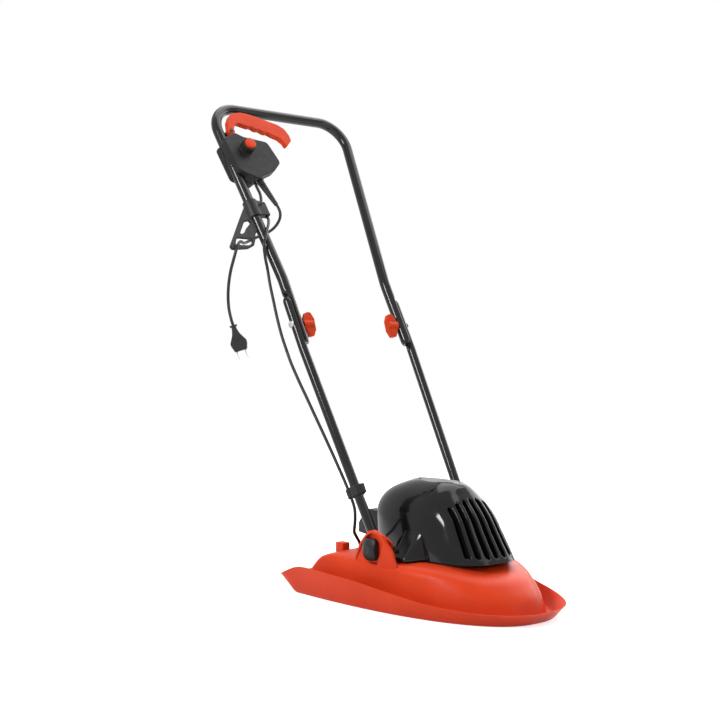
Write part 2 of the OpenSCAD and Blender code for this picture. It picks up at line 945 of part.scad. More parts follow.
module switch_rear() {
    color(dark)
        at_handle()
            difference() {
                union() {
                    difference() {
                        slab(rounded(rear_side, 10), -rear_d, 0);
                        slab(rounded(rear_room, 2), -rear_d + box_wall, 1);
                    }
                    pole(lever_at, 9, -9, 0);
                    pole(lever_at, 5, -1, 3.7);
                    slab([bp(-173, 985), bp(-155, 985), bp(-155, 1008), bp(-173, 1008)], -9, 0);
                    pole(button_at, 9, -rear_d + 1, 3);
                }
                pole(lever_at, 2.5 + fit, -7, 10);
                box_holes();
            }
}
module micro_switch() {
    q = bp(-125, 928);
    color(black)
        at_handle()
            translate([-rear_d + box_wall, q[0], q[1]])
                cube([14, 28, 18]);
}
module lever_pin() {
    color(steel)
        at_handle()
            union() {
                pole(lever_at, 2.5, -6, 4 + lever_t + 1);
                pole(lever_at, 4.5, 4 + lever_t + gap, 4 + lever_t + 2);
            }
}

// Start lever: hooked grip under the crossbar with finger hollows
lever_side = [bp(-172, 1010), bp(-167, 1034), bp(-157, 1051), bp(-145, 1060), bp(-121, 1066),
    bp(-98, 1064), bp(-60, 1055), bp(-22, 1045), bp(-7, 1035), bp(1, 1018), bp(2, 1002), bp(-17, 983),
    bp(-23, 997), bp(-33, 1006), bp(-50, 1012), bp(-138, 1033), bp(-149, 1027), bp(-155, 1014),
    bp(-156, 1006)];
hollows = [bp(-62, 1005), bp(-84, 1010.5), bp(-106, 1016)];
module start_lever() {
    color(orange)
        at_handle()
            difference() {
                union() {
                    slab(rounded(lever_side, 3), 4, 4 + lever_t);
                    pole(lever_at, 9.5, 4, 4 + lever_t);
                    slab([bp(-167, 984), bp(-161, 984), bp(-161, 1004), bp(-167, 1004)], 6, 4 + lever_t - 2);
                }
                pole(lever_at, 2.5 + fit, 0, 30);
                for (q = hollows)
                    pole(q, 12, 0, 30);
            }
}
module lock_button() {
    color(orange)
        at_handle()
            union() {
                pole(button_at, button_r, box_d - 4, box_d + ring_up + 5);
                pole(button_at, button_r + 2, box_d - box_wall - 3.4, box_d - box_wall - gap);
            }
}

// Return spring of the button, one unbroken coil
spring_turns = 5;
spring_wire = 0.6;
spring_from = 3 + spring_wire + 0.1;
spring_to = box_d - box_wall - 3.4 - spring_wire - 0.1;
spring_pitch = (spring_to - spring_from) / spring_turns;
echo(least_spring_gap = spring_pitch - 2 * spring_wire);
module button_spring() {
    color(steel)
        at_handle()
            cord([for (k = [0:spring_turns * 12])
                [spring_from + spring_pitch * k / 12, button_at[0] + 6.5 * cos(30 * k),
                    button_at[1] + 6.5 * sin(30 * k)]], spring_wire, 6);
}
module strain_relief() {
    a = [0, relief_at[0], relief_at[1]];
    color(black)
        at_handle()
            difference() {
                union() {
                    rod(a - relief_dir * 5, a + relief_dir * 2, 6, 6);
                    rod(a + relief_dir * 0.8, a + relief_dir * 4, 9.5, 9.5);
                    rod(a + relief_dir * 3, a + relief_dir * 68, 8.5, 5);
                }
                rod(a - relief_dir * 10, a + relief_dir * 80, cord_r + gap, cord_r + gap);
            }
}

// Cable hook: split clamp on the right leg with a hanging two-window loop
hook_s = bar_s - 303;
function kp(y, s) = [y + 165.5 + leg_y(hook_s + 21), s - 1085 + bar_s];
hook_side = [kp(-170, 822), kp(-184, 812), kp(-210, 774), kp(-258, 702), kp(-257, 695), kp(-251, 693),
    kp(-212, 698), kp(-194, 707), kp(-187, 720), kp(-180, 738), kp(-172, 745), kp(-165, 778)];
window_a = [kp(-200, 768), kp(-224, 732), kp(-209, 739), kp(-199, 752), kp(-184, 766), kp(-186, 772)];
window_b = [kp(-226, 724.5), kp(-235, 722), kp(-243, 705.5), kp(-208, 706.5), kp(-198, 712), kp(-194, 723)];
hook_cable = kp(-138, 800);
module cable_hook() {
    a = [0, leg_y(hook_s), hook_s];
    b = [0, leg_y(hook_s + 42), hook_s + 42];
    c = [6, hook_cable[0] + 2, hook_cable[1] - 18];
    d = [6, hook_cable[0] - 2, hook_cable[1] + 20];
    color(black)
        at_handle()
            difference() {
                union() {
                    rod(a, b, up_r + 4, up_r + 4);
                    slab(rounded(hook_side, 2), -3, 3);
                    slab([kp(-158, 784), kp(-130, 784), kp(-134, 818), kp(-158, 822)], -3, 13);
                }
                rod(a - (b - a), b + (b - a), up_r + fit, up_r + fit);
                slab(rounded(window_a, 2), -10, 10);
                slab(rounded(window_b, 2), -10, 10);
                rod(c - (d - c), d + (d - c), cord_r + 0.6, cord_r + 0.6);
                for (k = [0:2])
                    translate([8, hook_cable[0] - 17 + 6.5 * k, hook_cable[1] + 4 + 4 * k])
                        cube([20, 3, 6]);
            }
}

// Motor cable in handle terms: through the hook, over the leg, down to the fold
function up_s(s) = s > 690 ? s - 1085 + bar_s : fold_s + (s - 511) * (bar_s - 395 - fold_s) / 179;
function up_point(v) = hp(v[0], v[1] + 146 - up_half, up_s(v[2]));
upper_route = [[0, -133, 886], [0, -132, 868], [2, -131, 850], [5, -135, 834], [6, -139.7, 818],
    [6, -138, 802], [6, -136.4, 786], [9, -138, 773], [14, -148, 755], [17, -164, 730], [10, -174, 704],
    [-2, -172, 680], [-12, -168, 655], [-19, -169, 620], [-23, -171, 580], [-26, -173.5, 540],
    [-28, -175, 500], [-28, -175, 464]];
mid_route = [[-28, -175, 461], [-28, -173.8, 430], [-27, -170, 390], [-25, -165, 344], [-23, -160.5, 300],
    [-21, -156.5, 260], [-18, -153, 215], [-15, -150.4, 172]];
clip_route = [[0, -0.9, 18], [0, -0.5, 10], [0, 0, 0], [0, 0.5, -10], [0, 0.9, -18]];
deck_route = [[-119, -145.5, 187], [-122.5, -141.5, 169], [-131.5, -135, 152], [-144, -126, 137],
    [-155.5, -114, 123], [-160.5, -102.5, 111.5]];
grommet_route = [[-0.3, -1.6, 12], [0, 0, 4], [0, 0, -6]];
module cable_upper() {
    color(black)
        cord(curve([for (v = upper_route) up_point(v)], 2), cord_r);
}
module cable_mid() {
    first = [for (v = mid_route) hp(v[0], v[1], v[2])];
    held = [for (v = clip_route) hp(clip_cable[0] + v[0], clip_cable[1] + v[1], clip_cable[2] + v[2])];
    last = [for (v = deck_route) [v[0] - pivot_back + 60, v[1], v[2] + deck_top - 94]];
    tail = [for (v = grommet_route) [grommet_at[0], grommet_at[1], deck_top] + v];
    color(black)
        cord(curve(concat(first, held, last, tail), 2), cord_r);
}

// Supply lead: out of the relief, behind the leg, through the hook, then hanging with its plug
relief_runs = [50, 60, 72];
lead_route = [[-1, -89, 807], [-3, -91, 794], [-8, -99, 780], [-15, -113, 767], [-21, -134, 756],
    [-23, -160, 746], [-21, -184, 734], [-14, -204, 723], [-5, -216, 716.5], [4, -228, 713], [10, -240, 706],
    [13.5, -250, 693]];
hang_route = [[-390, -256, 702], [-401, -257, 676], [-409, -256.5, 649], [-413, -255.5, 621],
    [-412, -254, 594]];
plug_tilt = -18;
plug_turn = 50;
plug_axis = [cos(plug_turn) * sin(-plug_tilt), sin(plug_turn) * sin(-plug_tilt), -cos(plug_tilt)];
hang_shift = hp(0, -up_half, fold_s) - [-310.08, -146, 560.63];
module supply_lead() {
    start = [for (d = relief_runs) hp(relief_dir[0] * d, relief_at[0] + relief_dir[1] * d,
        relief_at[1] + relief_dir[2] * d)];
    first = [for (v = lead_route) up_point(v)];
    last = [for (v = hang_route) v + hang_shift];
    tail = [for (d = [-12, -3, 4]) plug_point(d)];
    color(black)
        cord(curve(concat(start, first, last, tail), 2), cord_r);
}
function plug_point(d) = [-402, -250, 559] + hang_shift + plug_axis * d;
module at_plug() {
    translate(plug_point(0))
        rotate([0, 0, plug_turn])
            rotate([0, plug_tilt, 0])
                children();
}
plug_t = 13.5;
plug_len = 57;
plug_side = [[-5, -8], [-8, -20], [-17.5, -37], [-17.5, -43], [-13, -plug_len], [13, -plug_len], [17.5, -43],
    [17.5, -37], [8, -20], [5, -8]];
pin_seat = 8.5;
module plug_body() {
    color(black)
        at_plug()
            difference() {
                union() {
                    translate([0, plug_t / 2, 0])
                        rotate([90, 0, 0])
                            linear_extrude(plug_t)
                                polygon(rounded(plug_side, 2));
                    translate([0, 0, -20])
                        cylinder(r = cord_r + 2.2, h = 20);
                    translate([0, 0, -4])
                        cylinder(r1 = 7.5, r2 = 9, h = 4);
                }
                translate([0, 0, -12])
                    cylinder(r = cord_r + gap, h = 20);
                for (d = [-1, 1])
                    translate([d * pin_gap / 2, 0, -plug_len - 1])
                        cylinder(r = pin_r - 0.6 + fit, h = pin_seat + 1);
            }
}
module plug_pin(d) {
    color(steel)
        at_plug()
            translate([d * pin_gap / 2, 0, -plug_len - 19])
                union() {
                    cylinder(r = pin_r, h = 19);
                    cylinder(r = pin_r - 0.6, h = 19 + pin_seat - 0.5);
                }
}

deck_hood();
motor_tray();
motor_cover();
badge_plate();
rear_pod();
cover_screw(0);  // cover_screw_fr
cover_screw(1);  // cover_screw_fl
cover_screw(2);  // cover_screw_rr
cover_screw(3);  // cover_screw_rl
motor_frame();
stator_core();
field_coil(25);  // field_coil_a
field_coil(205);  // field_coil_b
motor_end_cap();
bearing(frame_z + 1, 13, 10);  // bearing_low
bearing(cap_z + 1.5, 11, 9);  // bearing_top
brush_box();  // brush_box_right
left_copy() brush_box();  // brush_box_left
brush();  // brush_right
left_copy() brush();  // brush_left
terminal_block();
capacitor();
cable_grommet();
pivot_bolt();  // pivot_bolt_right
left_copy() pivot_bolt();  // pivot_bolt_left
pivot_knob();  // pivot_knob_right
left_copy() pivot_knob();  // pivot_knob_left
spindle();
armature();
commutator();
lift_fan();
height_spacers();
cutting_blade();
blade_washer();
blade_nut();
lower_tube();  // lower_tube_right
left_copy() lower_tube();  // lower_tube_left
tube_foot();  // tube_foot_right
left_copy() tube_foot();  // tube_foot_left
fold_bolt();  // fold_bolt_right
left_copy() fold_bolt();  // fold_bolt_left
lower_clip();
cable_mid();
upper_tube();
switch_front();
switch_rear();
micro_switch();
lever_pin();
button_spring();
strain_relief();
cable_hook();
cable_upper();
supply_lead();
plug_body();
plug_pin(1);  // plug_pin_a
plug_pin(-1);  // plug_pin_b
wing_knob();  // wing_knob_right
left_copy() wing_knob();  // wing_knob_left
start_lever();
lock_button();
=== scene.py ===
import json
import math

import bmesh
import bpy
import numpy as np
from mathutils import Matrix, Quaternion, Vector
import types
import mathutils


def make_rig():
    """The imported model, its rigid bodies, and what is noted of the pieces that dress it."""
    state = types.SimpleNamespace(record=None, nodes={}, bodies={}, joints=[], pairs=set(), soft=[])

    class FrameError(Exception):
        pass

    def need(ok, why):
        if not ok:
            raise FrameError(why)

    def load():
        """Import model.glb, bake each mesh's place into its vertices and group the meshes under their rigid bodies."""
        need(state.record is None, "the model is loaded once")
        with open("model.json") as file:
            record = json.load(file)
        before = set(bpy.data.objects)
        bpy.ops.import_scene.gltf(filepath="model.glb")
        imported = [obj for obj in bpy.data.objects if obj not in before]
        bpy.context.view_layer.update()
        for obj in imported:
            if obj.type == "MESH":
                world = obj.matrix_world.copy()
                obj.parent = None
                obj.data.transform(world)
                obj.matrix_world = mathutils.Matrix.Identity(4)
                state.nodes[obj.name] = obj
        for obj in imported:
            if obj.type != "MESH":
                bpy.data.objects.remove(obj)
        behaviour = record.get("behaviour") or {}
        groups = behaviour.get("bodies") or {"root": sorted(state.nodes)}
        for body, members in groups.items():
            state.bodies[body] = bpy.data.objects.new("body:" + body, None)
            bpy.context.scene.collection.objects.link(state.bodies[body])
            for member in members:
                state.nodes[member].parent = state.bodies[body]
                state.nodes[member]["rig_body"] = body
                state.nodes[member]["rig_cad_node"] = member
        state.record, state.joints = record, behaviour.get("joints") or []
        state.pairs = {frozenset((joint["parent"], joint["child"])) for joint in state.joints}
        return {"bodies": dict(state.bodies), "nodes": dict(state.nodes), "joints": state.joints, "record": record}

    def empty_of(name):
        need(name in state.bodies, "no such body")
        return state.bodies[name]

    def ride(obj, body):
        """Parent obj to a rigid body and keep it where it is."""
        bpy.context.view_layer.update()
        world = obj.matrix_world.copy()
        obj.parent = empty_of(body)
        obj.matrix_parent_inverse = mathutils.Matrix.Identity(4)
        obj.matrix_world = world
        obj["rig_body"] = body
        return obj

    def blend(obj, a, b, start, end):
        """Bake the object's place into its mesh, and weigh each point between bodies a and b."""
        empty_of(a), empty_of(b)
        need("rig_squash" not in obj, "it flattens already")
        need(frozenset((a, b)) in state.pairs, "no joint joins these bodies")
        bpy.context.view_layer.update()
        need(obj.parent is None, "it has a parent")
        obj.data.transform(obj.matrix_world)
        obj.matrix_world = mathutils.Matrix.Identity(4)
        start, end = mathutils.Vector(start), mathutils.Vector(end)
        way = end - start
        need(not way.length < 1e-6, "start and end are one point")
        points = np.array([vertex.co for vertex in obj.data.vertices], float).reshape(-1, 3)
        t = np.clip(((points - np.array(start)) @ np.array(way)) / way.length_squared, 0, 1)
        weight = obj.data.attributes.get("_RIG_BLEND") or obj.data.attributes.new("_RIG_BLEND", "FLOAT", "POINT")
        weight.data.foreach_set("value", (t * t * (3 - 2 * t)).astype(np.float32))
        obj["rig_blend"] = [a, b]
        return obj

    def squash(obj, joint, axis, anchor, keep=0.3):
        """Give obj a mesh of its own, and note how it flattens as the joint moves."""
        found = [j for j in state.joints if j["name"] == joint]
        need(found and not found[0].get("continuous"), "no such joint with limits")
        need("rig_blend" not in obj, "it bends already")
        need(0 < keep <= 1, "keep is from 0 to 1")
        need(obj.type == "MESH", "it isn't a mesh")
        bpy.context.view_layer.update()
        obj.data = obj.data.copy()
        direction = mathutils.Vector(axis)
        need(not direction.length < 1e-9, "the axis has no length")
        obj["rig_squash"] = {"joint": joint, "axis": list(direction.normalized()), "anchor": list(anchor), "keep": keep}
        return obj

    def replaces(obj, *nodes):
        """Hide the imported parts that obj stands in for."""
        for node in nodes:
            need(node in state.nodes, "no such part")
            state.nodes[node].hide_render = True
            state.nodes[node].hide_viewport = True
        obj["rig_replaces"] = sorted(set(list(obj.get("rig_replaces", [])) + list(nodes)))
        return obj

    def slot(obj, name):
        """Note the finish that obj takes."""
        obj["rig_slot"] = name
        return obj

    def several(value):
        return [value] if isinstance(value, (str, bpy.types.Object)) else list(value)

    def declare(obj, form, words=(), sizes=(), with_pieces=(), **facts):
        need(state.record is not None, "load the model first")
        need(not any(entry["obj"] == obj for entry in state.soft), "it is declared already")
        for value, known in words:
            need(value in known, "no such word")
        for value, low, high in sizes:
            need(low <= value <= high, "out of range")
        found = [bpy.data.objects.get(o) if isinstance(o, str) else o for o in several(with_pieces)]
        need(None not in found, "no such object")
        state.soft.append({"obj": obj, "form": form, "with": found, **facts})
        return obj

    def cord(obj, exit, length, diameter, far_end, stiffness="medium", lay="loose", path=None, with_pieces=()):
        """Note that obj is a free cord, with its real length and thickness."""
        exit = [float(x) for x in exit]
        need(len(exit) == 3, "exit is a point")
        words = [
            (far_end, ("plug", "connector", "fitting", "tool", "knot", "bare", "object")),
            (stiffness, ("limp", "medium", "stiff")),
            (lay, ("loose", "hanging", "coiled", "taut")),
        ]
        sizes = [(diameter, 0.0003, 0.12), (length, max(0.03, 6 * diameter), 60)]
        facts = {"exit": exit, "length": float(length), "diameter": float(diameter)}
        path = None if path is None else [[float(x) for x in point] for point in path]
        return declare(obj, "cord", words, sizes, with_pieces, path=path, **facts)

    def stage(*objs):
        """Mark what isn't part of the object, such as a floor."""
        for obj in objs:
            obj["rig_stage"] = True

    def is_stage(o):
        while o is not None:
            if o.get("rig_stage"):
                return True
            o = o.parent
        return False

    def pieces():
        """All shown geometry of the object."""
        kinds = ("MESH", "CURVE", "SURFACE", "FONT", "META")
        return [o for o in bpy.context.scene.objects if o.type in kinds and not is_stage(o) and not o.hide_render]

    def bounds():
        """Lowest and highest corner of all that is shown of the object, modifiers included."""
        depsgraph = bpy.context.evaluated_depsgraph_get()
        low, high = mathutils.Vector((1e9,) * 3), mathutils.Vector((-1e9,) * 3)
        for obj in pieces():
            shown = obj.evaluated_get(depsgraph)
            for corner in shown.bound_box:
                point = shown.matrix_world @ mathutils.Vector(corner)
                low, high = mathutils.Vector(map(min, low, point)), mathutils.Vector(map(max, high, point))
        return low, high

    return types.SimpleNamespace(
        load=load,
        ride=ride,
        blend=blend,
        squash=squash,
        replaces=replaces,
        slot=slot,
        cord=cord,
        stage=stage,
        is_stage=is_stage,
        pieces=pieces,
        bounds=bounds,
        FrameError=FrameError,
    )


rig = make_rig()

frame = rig.load()
cad_low, cad_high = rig.bounds()
nodes = frame["nodes"]

# Sizes in millimetres, the same as in the part's source
MM = 0.001
LEAN = math.radians(29.3)
PIVOT_BACK = 60
PIVOT_Z = 115
PIVOT_HALF = 133
FOLD_HALF = 153
FOLD_S = 511
UP_HALF = 146
BAR_HALF = 196
BAR_S = 1085
LOW_R = 10.2
UP_R = 12
CORD_R = 3.3
DECK_NOSE = 243
DECK_REAR = 307
DECK_HALF = 181
DECK_TOP = 94
RIM_FLARE = 23
HOOD_WALL = 3
COVER_Z = 98
COVER_H = 149
COVER_HALF = 90
EAR_OUT = 150
EAR_FLOOR = 149
EAR_IN = 117


# Places


def handle(x, y, s):
    """A place in handle terms, off the handle plane, across and along, in metres."""
    return Vector((
        -PIVOT_BACK + x * math.cos(LEAN) - s * math.sin(LEAN),
        y,
        PIVOT_Z + x * math.sin(LEAN) + s * math.cos(LEAN),
    )) * MM


def world(x, y, z):
    """A place in the part's own frame, in metres."""
    return Vector((x, y, z)) * MM


def curve_through(points, steps):
    """Smooth curve through given points."""
    path = []
    last = len(points) - 1
    for i in range(last):
        a = points[max(i - 1, 0)]
        b = points[i]
        c = points[i + 1]
        d = points[min(i + 2, last)]
        for k in range(steps):
            t = k / steps
            path.append(0.5 * (
                2 * b + (c - a) * t + (2 * a - 5 * b + 4 * c - d) * t * t
                + (3 * b - a - 3 * c + d) * t * t * t
            ))
    path.append(points[last])
    return path


def ease(x):
    x = max(0.0, min(1.0, x))
    return x * x * (3 - 2 * x)


def length_of(path):
    return sum((b - a).length for a, b in zip(path, path[1:]))


# Meshes


def new_object(name, data):
    piece = bpy.data.objects.new(name, data)
    bpy.context.scene.collection.objects.link(piece)
    return piece


def mesh_object(name, points, faces):
    mesh = bpy.data.meshes.new(name)
    mesh.from_pydata([tuple(p) for p in points], [], faces)
    mesh.update()
    return new_object(name, mesh)


def skin(name, rings):
    """Closed surface through a stack of equal rings."""
    count = len(rings[0])
    points = [p for ring in rings for p in ring]
    faces = []
    for k in range(len(rings) - 1):
        for i in range(count):
            j = (i + 1) % count
            faces.append((k * count + i, k * count + j, (k + 1) * count + j, (k + 1) * count + i))
    top = (len(rings) - 1) * count
    faces.append(tuple(range(count - 1, -1, -1)))
    faces.append(tuple(range(top, top + count)))
    return mesh_object(name, points, faces)


def sweep(name, path, ring):
    """Tube along a path, its section carried along without twist."""
    rings = []
    normal = Vector((0.37, 0.61, 0.70))
    last = len(path) - 1
    for i, place in enumerate(path):
        tangent = (path[min(i + 1, last)] - path[max(i - 1, 0)]).normalized()
        normal = (normal - tangent * normal.dot(tangent)).normalized()
        across = tangent.cross(normal)
        rings.append([place + normal * a + across * b for a, b in ring])
    return skin(name, rings)


def circle(radius, sides):
    turn = 2 * math.pi / sides
    return [(radius * math.cos(turn * k), radius * math.sin(turn * k)) for k in range(sides)]


def lathe(name, start, direction, profile, sides=48):
    """Round piece: the profile lists distance along the axis and radius, in millimetres."""
    axis = Vector(direction).normalized()
    u = axis.orthogonal().normalized()
    v = axis.cross(u)
    rings = []
    for along, radius in profile:
        centre = start + axis * along * MM
        rings.append([centre + (u * a + v * b) * MM for a, b in circle(radius, sides)])
    return skin(name, rings)


def smooth(piece, degrees):
    """Smooth shading, with edges sharper than the angle kept crisp."""
    mesh = piece.data
    mesh.shade_smooth()
    mesh.set_sharp_from_angle(angle=math.radians(degrees))
    return piece


def tidy_normals(piece):
    work = bmesh.new()
    work.from_mesh(piece.data)
    bmesh.ops.recalc_face_normals(work, faces=work.faces)
    work.to_mesh(piece.data)
    work.free()
    return piece


def apply_modifiers(piece):
    graph = bpy.context.evaluated_depsgraph_get()
    made = bpy.data.meshes.new_from_object(piece.evaluated_get(graph))
    old = piece.data
    piece.modifiers.clear()
    piece.data = made
    bpy.data.meshes.remove(old)
    return piece


def cut_or_join(piece, other, operation):
    """Boolean with another piece, which is used up."""
    step = piece.modifiers.new("join", "BOOLEAN")
    step.operation = operation
    step.solver = "EXACT"
    step.object = other
    apply_modifiers(piece)
    bpy.data.objects.remove(other)
    return piece


# Points this close, in metres, are one, and faces that turn by less are flat
WELD = 0.00001
FLAT = math.radians(0.6)


def copy_of(node, name):
    """Welded copy of a CAD node's mesh, to be worked on."""
    mesh = nodes[node].data.copy()
    mesh.name = name
    mesh.materials.clear()
    work = bmesh.new()
    work.from_mesh(mesh)
    bmesh.ops.remove_doubles(work, verts=work.verts, dist=WELD)
    bmesh.ops.dissolve_limit(work, angle_limit=FLAT, verts=work.verts, edges=work.edges)
    work.to_mesh(mesh)
    work.free()
    return new_object(name, mesh)


def with_round_edges(piece, edge, degrees=50):
    """Round off the edges that are sharper than the angle."""
    bevel = piece.modifiers.new("edges", "BEVEL")
    bevel.width = edge * MM
    bevel.segments = 3
    bevel.limit_method = "ANGLE"
    bevel.angle_limit = math.radians(degrees)
    return apply_modifiers(piece)


def softened(node, width):
    """Copy of a CAD node with its sharp edges rounded off."""
    return smooth(with_round_edges(copy_of(node, node + "_soft"), width, 28), 40)


HANDLE_AXES = Matrix.Rotation(-LEAN, 4, "Y")


def moulded(node, cell, rounds, on_handle=True):
    """Copy of a CAD node as a soft moulding: remeshed in its own axes and smoothed."""
    piece = copy_of(node, node + "_moulded")
    turn = HANDLE_AXES if on_handle else Matrix.Identity(4)
    piece.data.transform(turn.inverted())
    remesh = piece.modifiers.new("cells", "REMESH")
    remesh.mode = "VOXEL"
    remesh.voxel_size = cell * MM
    relax = piece.modifiers.new("relax", "SMOOTH")
    relax.factor = 0.5
    relax.iterations = rounds
    apply_modifiers(piece)
    piece.data.transform(turn)
    piece.data.shade_smooth()
    return piece


# Materials: every one is made of nodes in object coordinates


def fill(node, values):
    """Set a shader node's inputs by their names."""
    for name, value in values.items():
        node.inputs[name].default_value = value
    return node


class Surface:
    """A Principled material whose colour, gloss and relief vary by noise."""

    def __init__(self, name, colour, rough, metal=0.0, specular=0.5):
        self.material = bpy.data.materials.new(name)
        self.material.use_nodes = True
        self.tree = self.material.node_tree
        self.shader = fill(self.tree.nodes["Principled BSDF"], {
            "Base Color": (*colour, 1), "Roughness": rough, "Metallic": metal, "Specular IOR Level": specular,
        })
        self.place = self.tree.nodes.new("ShaderNodeTexCoord").outputs["Object"]
        self.relief = None

    def link(self, start, end):
        self.tree.links.new(start, end)

    def add(self, kind, values):
        return fill(self.tree.nodes.new(kind), values)

    def noise(self, size, detail, rough=0.55, stretch=(1, 1, 1)):
        """Noise whose main spots are about the given size in millimetres."""
        scale = self.add("ShaderNodeMapping", {"Scale": stretch})
        self.link(self.place, scale.inputs["Vector"])
        spots = {"Scale": 1000 / size, "Detail": detail, "Roughness": rough}
        texture = self.add("ShaderNodeTexNoise", spots)
        self.link(scale.outputs["Vector"], texture.inputs["Vector"])
        return texture.outputs["Fac"]

    def tint(self, field, dark, light):
        """Colour that moves between two tones."""
        ramp = self.tree.nodes.new("ShaderNodeValToRGB")
        for stop, place, tone in zip(ramp.color_ramp.elements, (0.35, 0.65), (dark, light)):
            stop.position = place
            stop.color = (*tone, 1)
        self.link(field, ramp.inputs["Fac"])
        self.link(ramp.outputs["Color"], self.shader.inputs["Base Color"])

    def gloss(self, field, low, high):
        """Roughness that moves between two values."""
        ends = {"From Min": 0.3, "From Max": 0.7, "To Min": low, "To Max": high}
        span = self.add("ShaderNodeMapRange", ends)
        self.link(field, span.inputs["Value"])
        self.link(span.outputs["Result"], self.shader.inputs["Roughness"])

    def bump(self, field, depth, strength=1.0):
        """Relief of the given depth in millimetres, on top of any before it."""
        step = self.add("ShaderNodeBump", {"Strength": strength, "Distance": depth * MM})
        self.link(field, step.inputs["Height"])
        if self.relief:
            self.link(self.relief, step.inputs["Normal"])
        self.relief = step.outputs["Normal"]
        self.link(self.relief, self.shader.inputs["Normal"])


def grained(name, colour, rough, tones, shine, relief, metal=0.0, specular=0.5):
    """Material whose tones, shine and relief each start with the values of their noise."""
    s = Surface(name, colour, rough, metal, specular)
    s.tint(s.noise(*tones[0]), *tones[1:])
    s.gloss(s.noise(*shine[0]), *shine[1:])
    for field, *depth in relief:
        s.bump(s.noise(*field), *depth)
    return s.material


def grey(tone):
    return (tone, tone, tone)


def dark_plastic(name, tone, rough, specular):
    """Spark-textured dark grey moulding."""
    return grained(
        name, grey(tone), rough, specular=specular,
        tones=((50, 4), grey(tone * 0.85), grey(tone * 1.25)),
        shine=((12, 5), rough - 0.06, rough + 0.08),
        relief=[((0.7, 3, 0.7), 0.06)],
    )


def copper_wire():
    """Enamelled copper with the lines of its winding."""
    s = Surface("copper_wire", (0.55, 0.22, 0.08), 0.32, metal=1.0)
    wave = s.add("ShaderNodeTexWave", {"Scale": 500, "Distortion": 1.5})
    wave.wave_type = "RINGS"
    s.link(s.place, wave.inputs["Vector"])
    s.tint(wave.outputs["Fac"], (0.40, 0.14, 0.05), (0.62, 0.27, 0.10))
    s.bump(wave.outputs["Fac"], 0.25)
    return s.material


MATERIALS = {
    # Satin orange-red moulding with a fine grain and a few scuffs
    "hood": grained(
        "hood_plastic", (0.60, 0.046, 0.011), 0.36, specular=0.10,
        tones=((90, 4), (0.57, 0.042, 0.009), (0.63, 0.050, 0.013)),
        shine=((14, 5), 0.30, 0.42),
        relief=[((1.1, 2), 0.035), ((60, 2), 0.25, 0.5)],
    ),
    # Orange of the lever, button and wing knobs, a little duller
    "trim": grained(
        "trim_plastic", (0.55, 0.044, 0.010), 0.38, specular=0.08,
        tones=((40, 4), (0.51, 0.039, 0.008), (0.59, 0.049, 0.012)),
        shine=((9, 5), 0.32, 0.46),
        relief=[((0.8, 2), 0.03)],
    ),
    # High-gloss black cover with faint mould waviness and fine wipe marks
    "cover": grained(
        "gloss_black", (0.005, 0.005, 0.006), 0.10, specular=0.24,
        tones=((120, 3), (0.004, 0.004, 0.005), (0.006, 0.006, 0.007)),
        shine=((22, 6, 0.65), 0.08, 0.14),
        relief=[((34, 1), 0.06, 0.35), ((0.9, 2), 0.006)],
    ),
    "dark_plastic": dark_plastic("dark_plastic", 0.014, 0.42, 0.2),
    "box": dark_plastic("box_plastic", 0.014, 0.46, 0.12),
    "plate": dark_plastic("plate_plastic", 0.16, 0.36, 0.4),
    # Black powder coat with orange peel
    "tube": grained(
        "tube_paint", (0.008, 0.008, 0.009), 0.14, specular=0.30,
        tones=((70, 3), (0.007, 0.007, 0.008), (0.010, 0.010, 0.011)),
        shine=((18, 5), 0.11, 0.19),
        relief=[((1.6, 2), 0.02)],
    ),
    # Zinc plated steel with fine scratches
    "steel": grained(
        "bare_steel", (0.60, 0.60, 0.61), 0.30, metal=1.0,
        tones=((16, 5), (0.52, 0.52, 0.54), (0.66, 0.66, 0.65)),
        shine=((3, 6, 0.7), 0.22, 0.42),
        relief=[((1.2, 4, 0.6, (1, 1, 9)), 0.012)],
    ),
    # Rolled blade steel with grinding marks along it
    "blade": grained(
        "blade_steel", (0.42, 0.42, 0.43), 0.34, metal=1.0,
        tones=((30, 6, 0.65), (0.33, 0.33, 0.34), (0.48, 0.48, 0.48)),
        shine=((5, 6, 0.7), 0.26, 0.48),
        relief=[((2.0, 5, 0.6, (0.08, 1, 1)), 0.03)],
    ),
    "copper": copper_wire(),
    # Black flexible lead, semi-matt
    "cord": grained(
        "cord_rubber", grey(0.012), 0.40, specular=0.3,
        tones=((25, 4), grey(0.009), grey(0.017)),
        shine=((6, 4), 0.33, 0.48),
        relief=[((0.6, 2), 0.02)],
    ),
}

# The colour slot of a finish, where it has another name
SLOT_OF = {"trim": "hood", "box": "dark_plastic"}


def adopt(piece, finish, body, *replaced):
    """Give a new piece its material, its body, its slot and the nodes that it stands for."""
    piece.data.materials.clear()
    piece.data.materials.append(MATERIALS[finish])
    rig.ride(piece, body)
    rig.slot(piece, SLOT_OF.get(finish, finish))
    if replaced:
        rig.replaces(piece, *replaced)
    return piece


# Camera, fitted to the photo's viewing angle
CAMERA_AT = Vector((1.742, -1.679, 0.517))
CAMERA_TURN = math.radians(50.277)
CAMERA_PITCH = math.radians(-0.703)
CAMERA_ROLL = math.radians(0.164)
CAMERA_LENS = 60


def add_camera():
    data = bpy.data.cameras.new("camera")
    data.lens = CAMERA_LENS
    data.sensor_width = 36
    data.clip_end = 50
    camera = new_object("camera", data)
    turn = Matrix.Rotation(CAMERA_TURN, 4, "Z") @ Matrix.Rotation(math.pi / 2 + CAMERA_PITCH, 4, "X")
    camera.matrix_world = Matrix.Translation(CAMERA_AT) @ turn @ Matrix.Rotation(CAMERA_ROLL, 4, "Z")
    bpy.context.scene.camera = camera


add_camera()
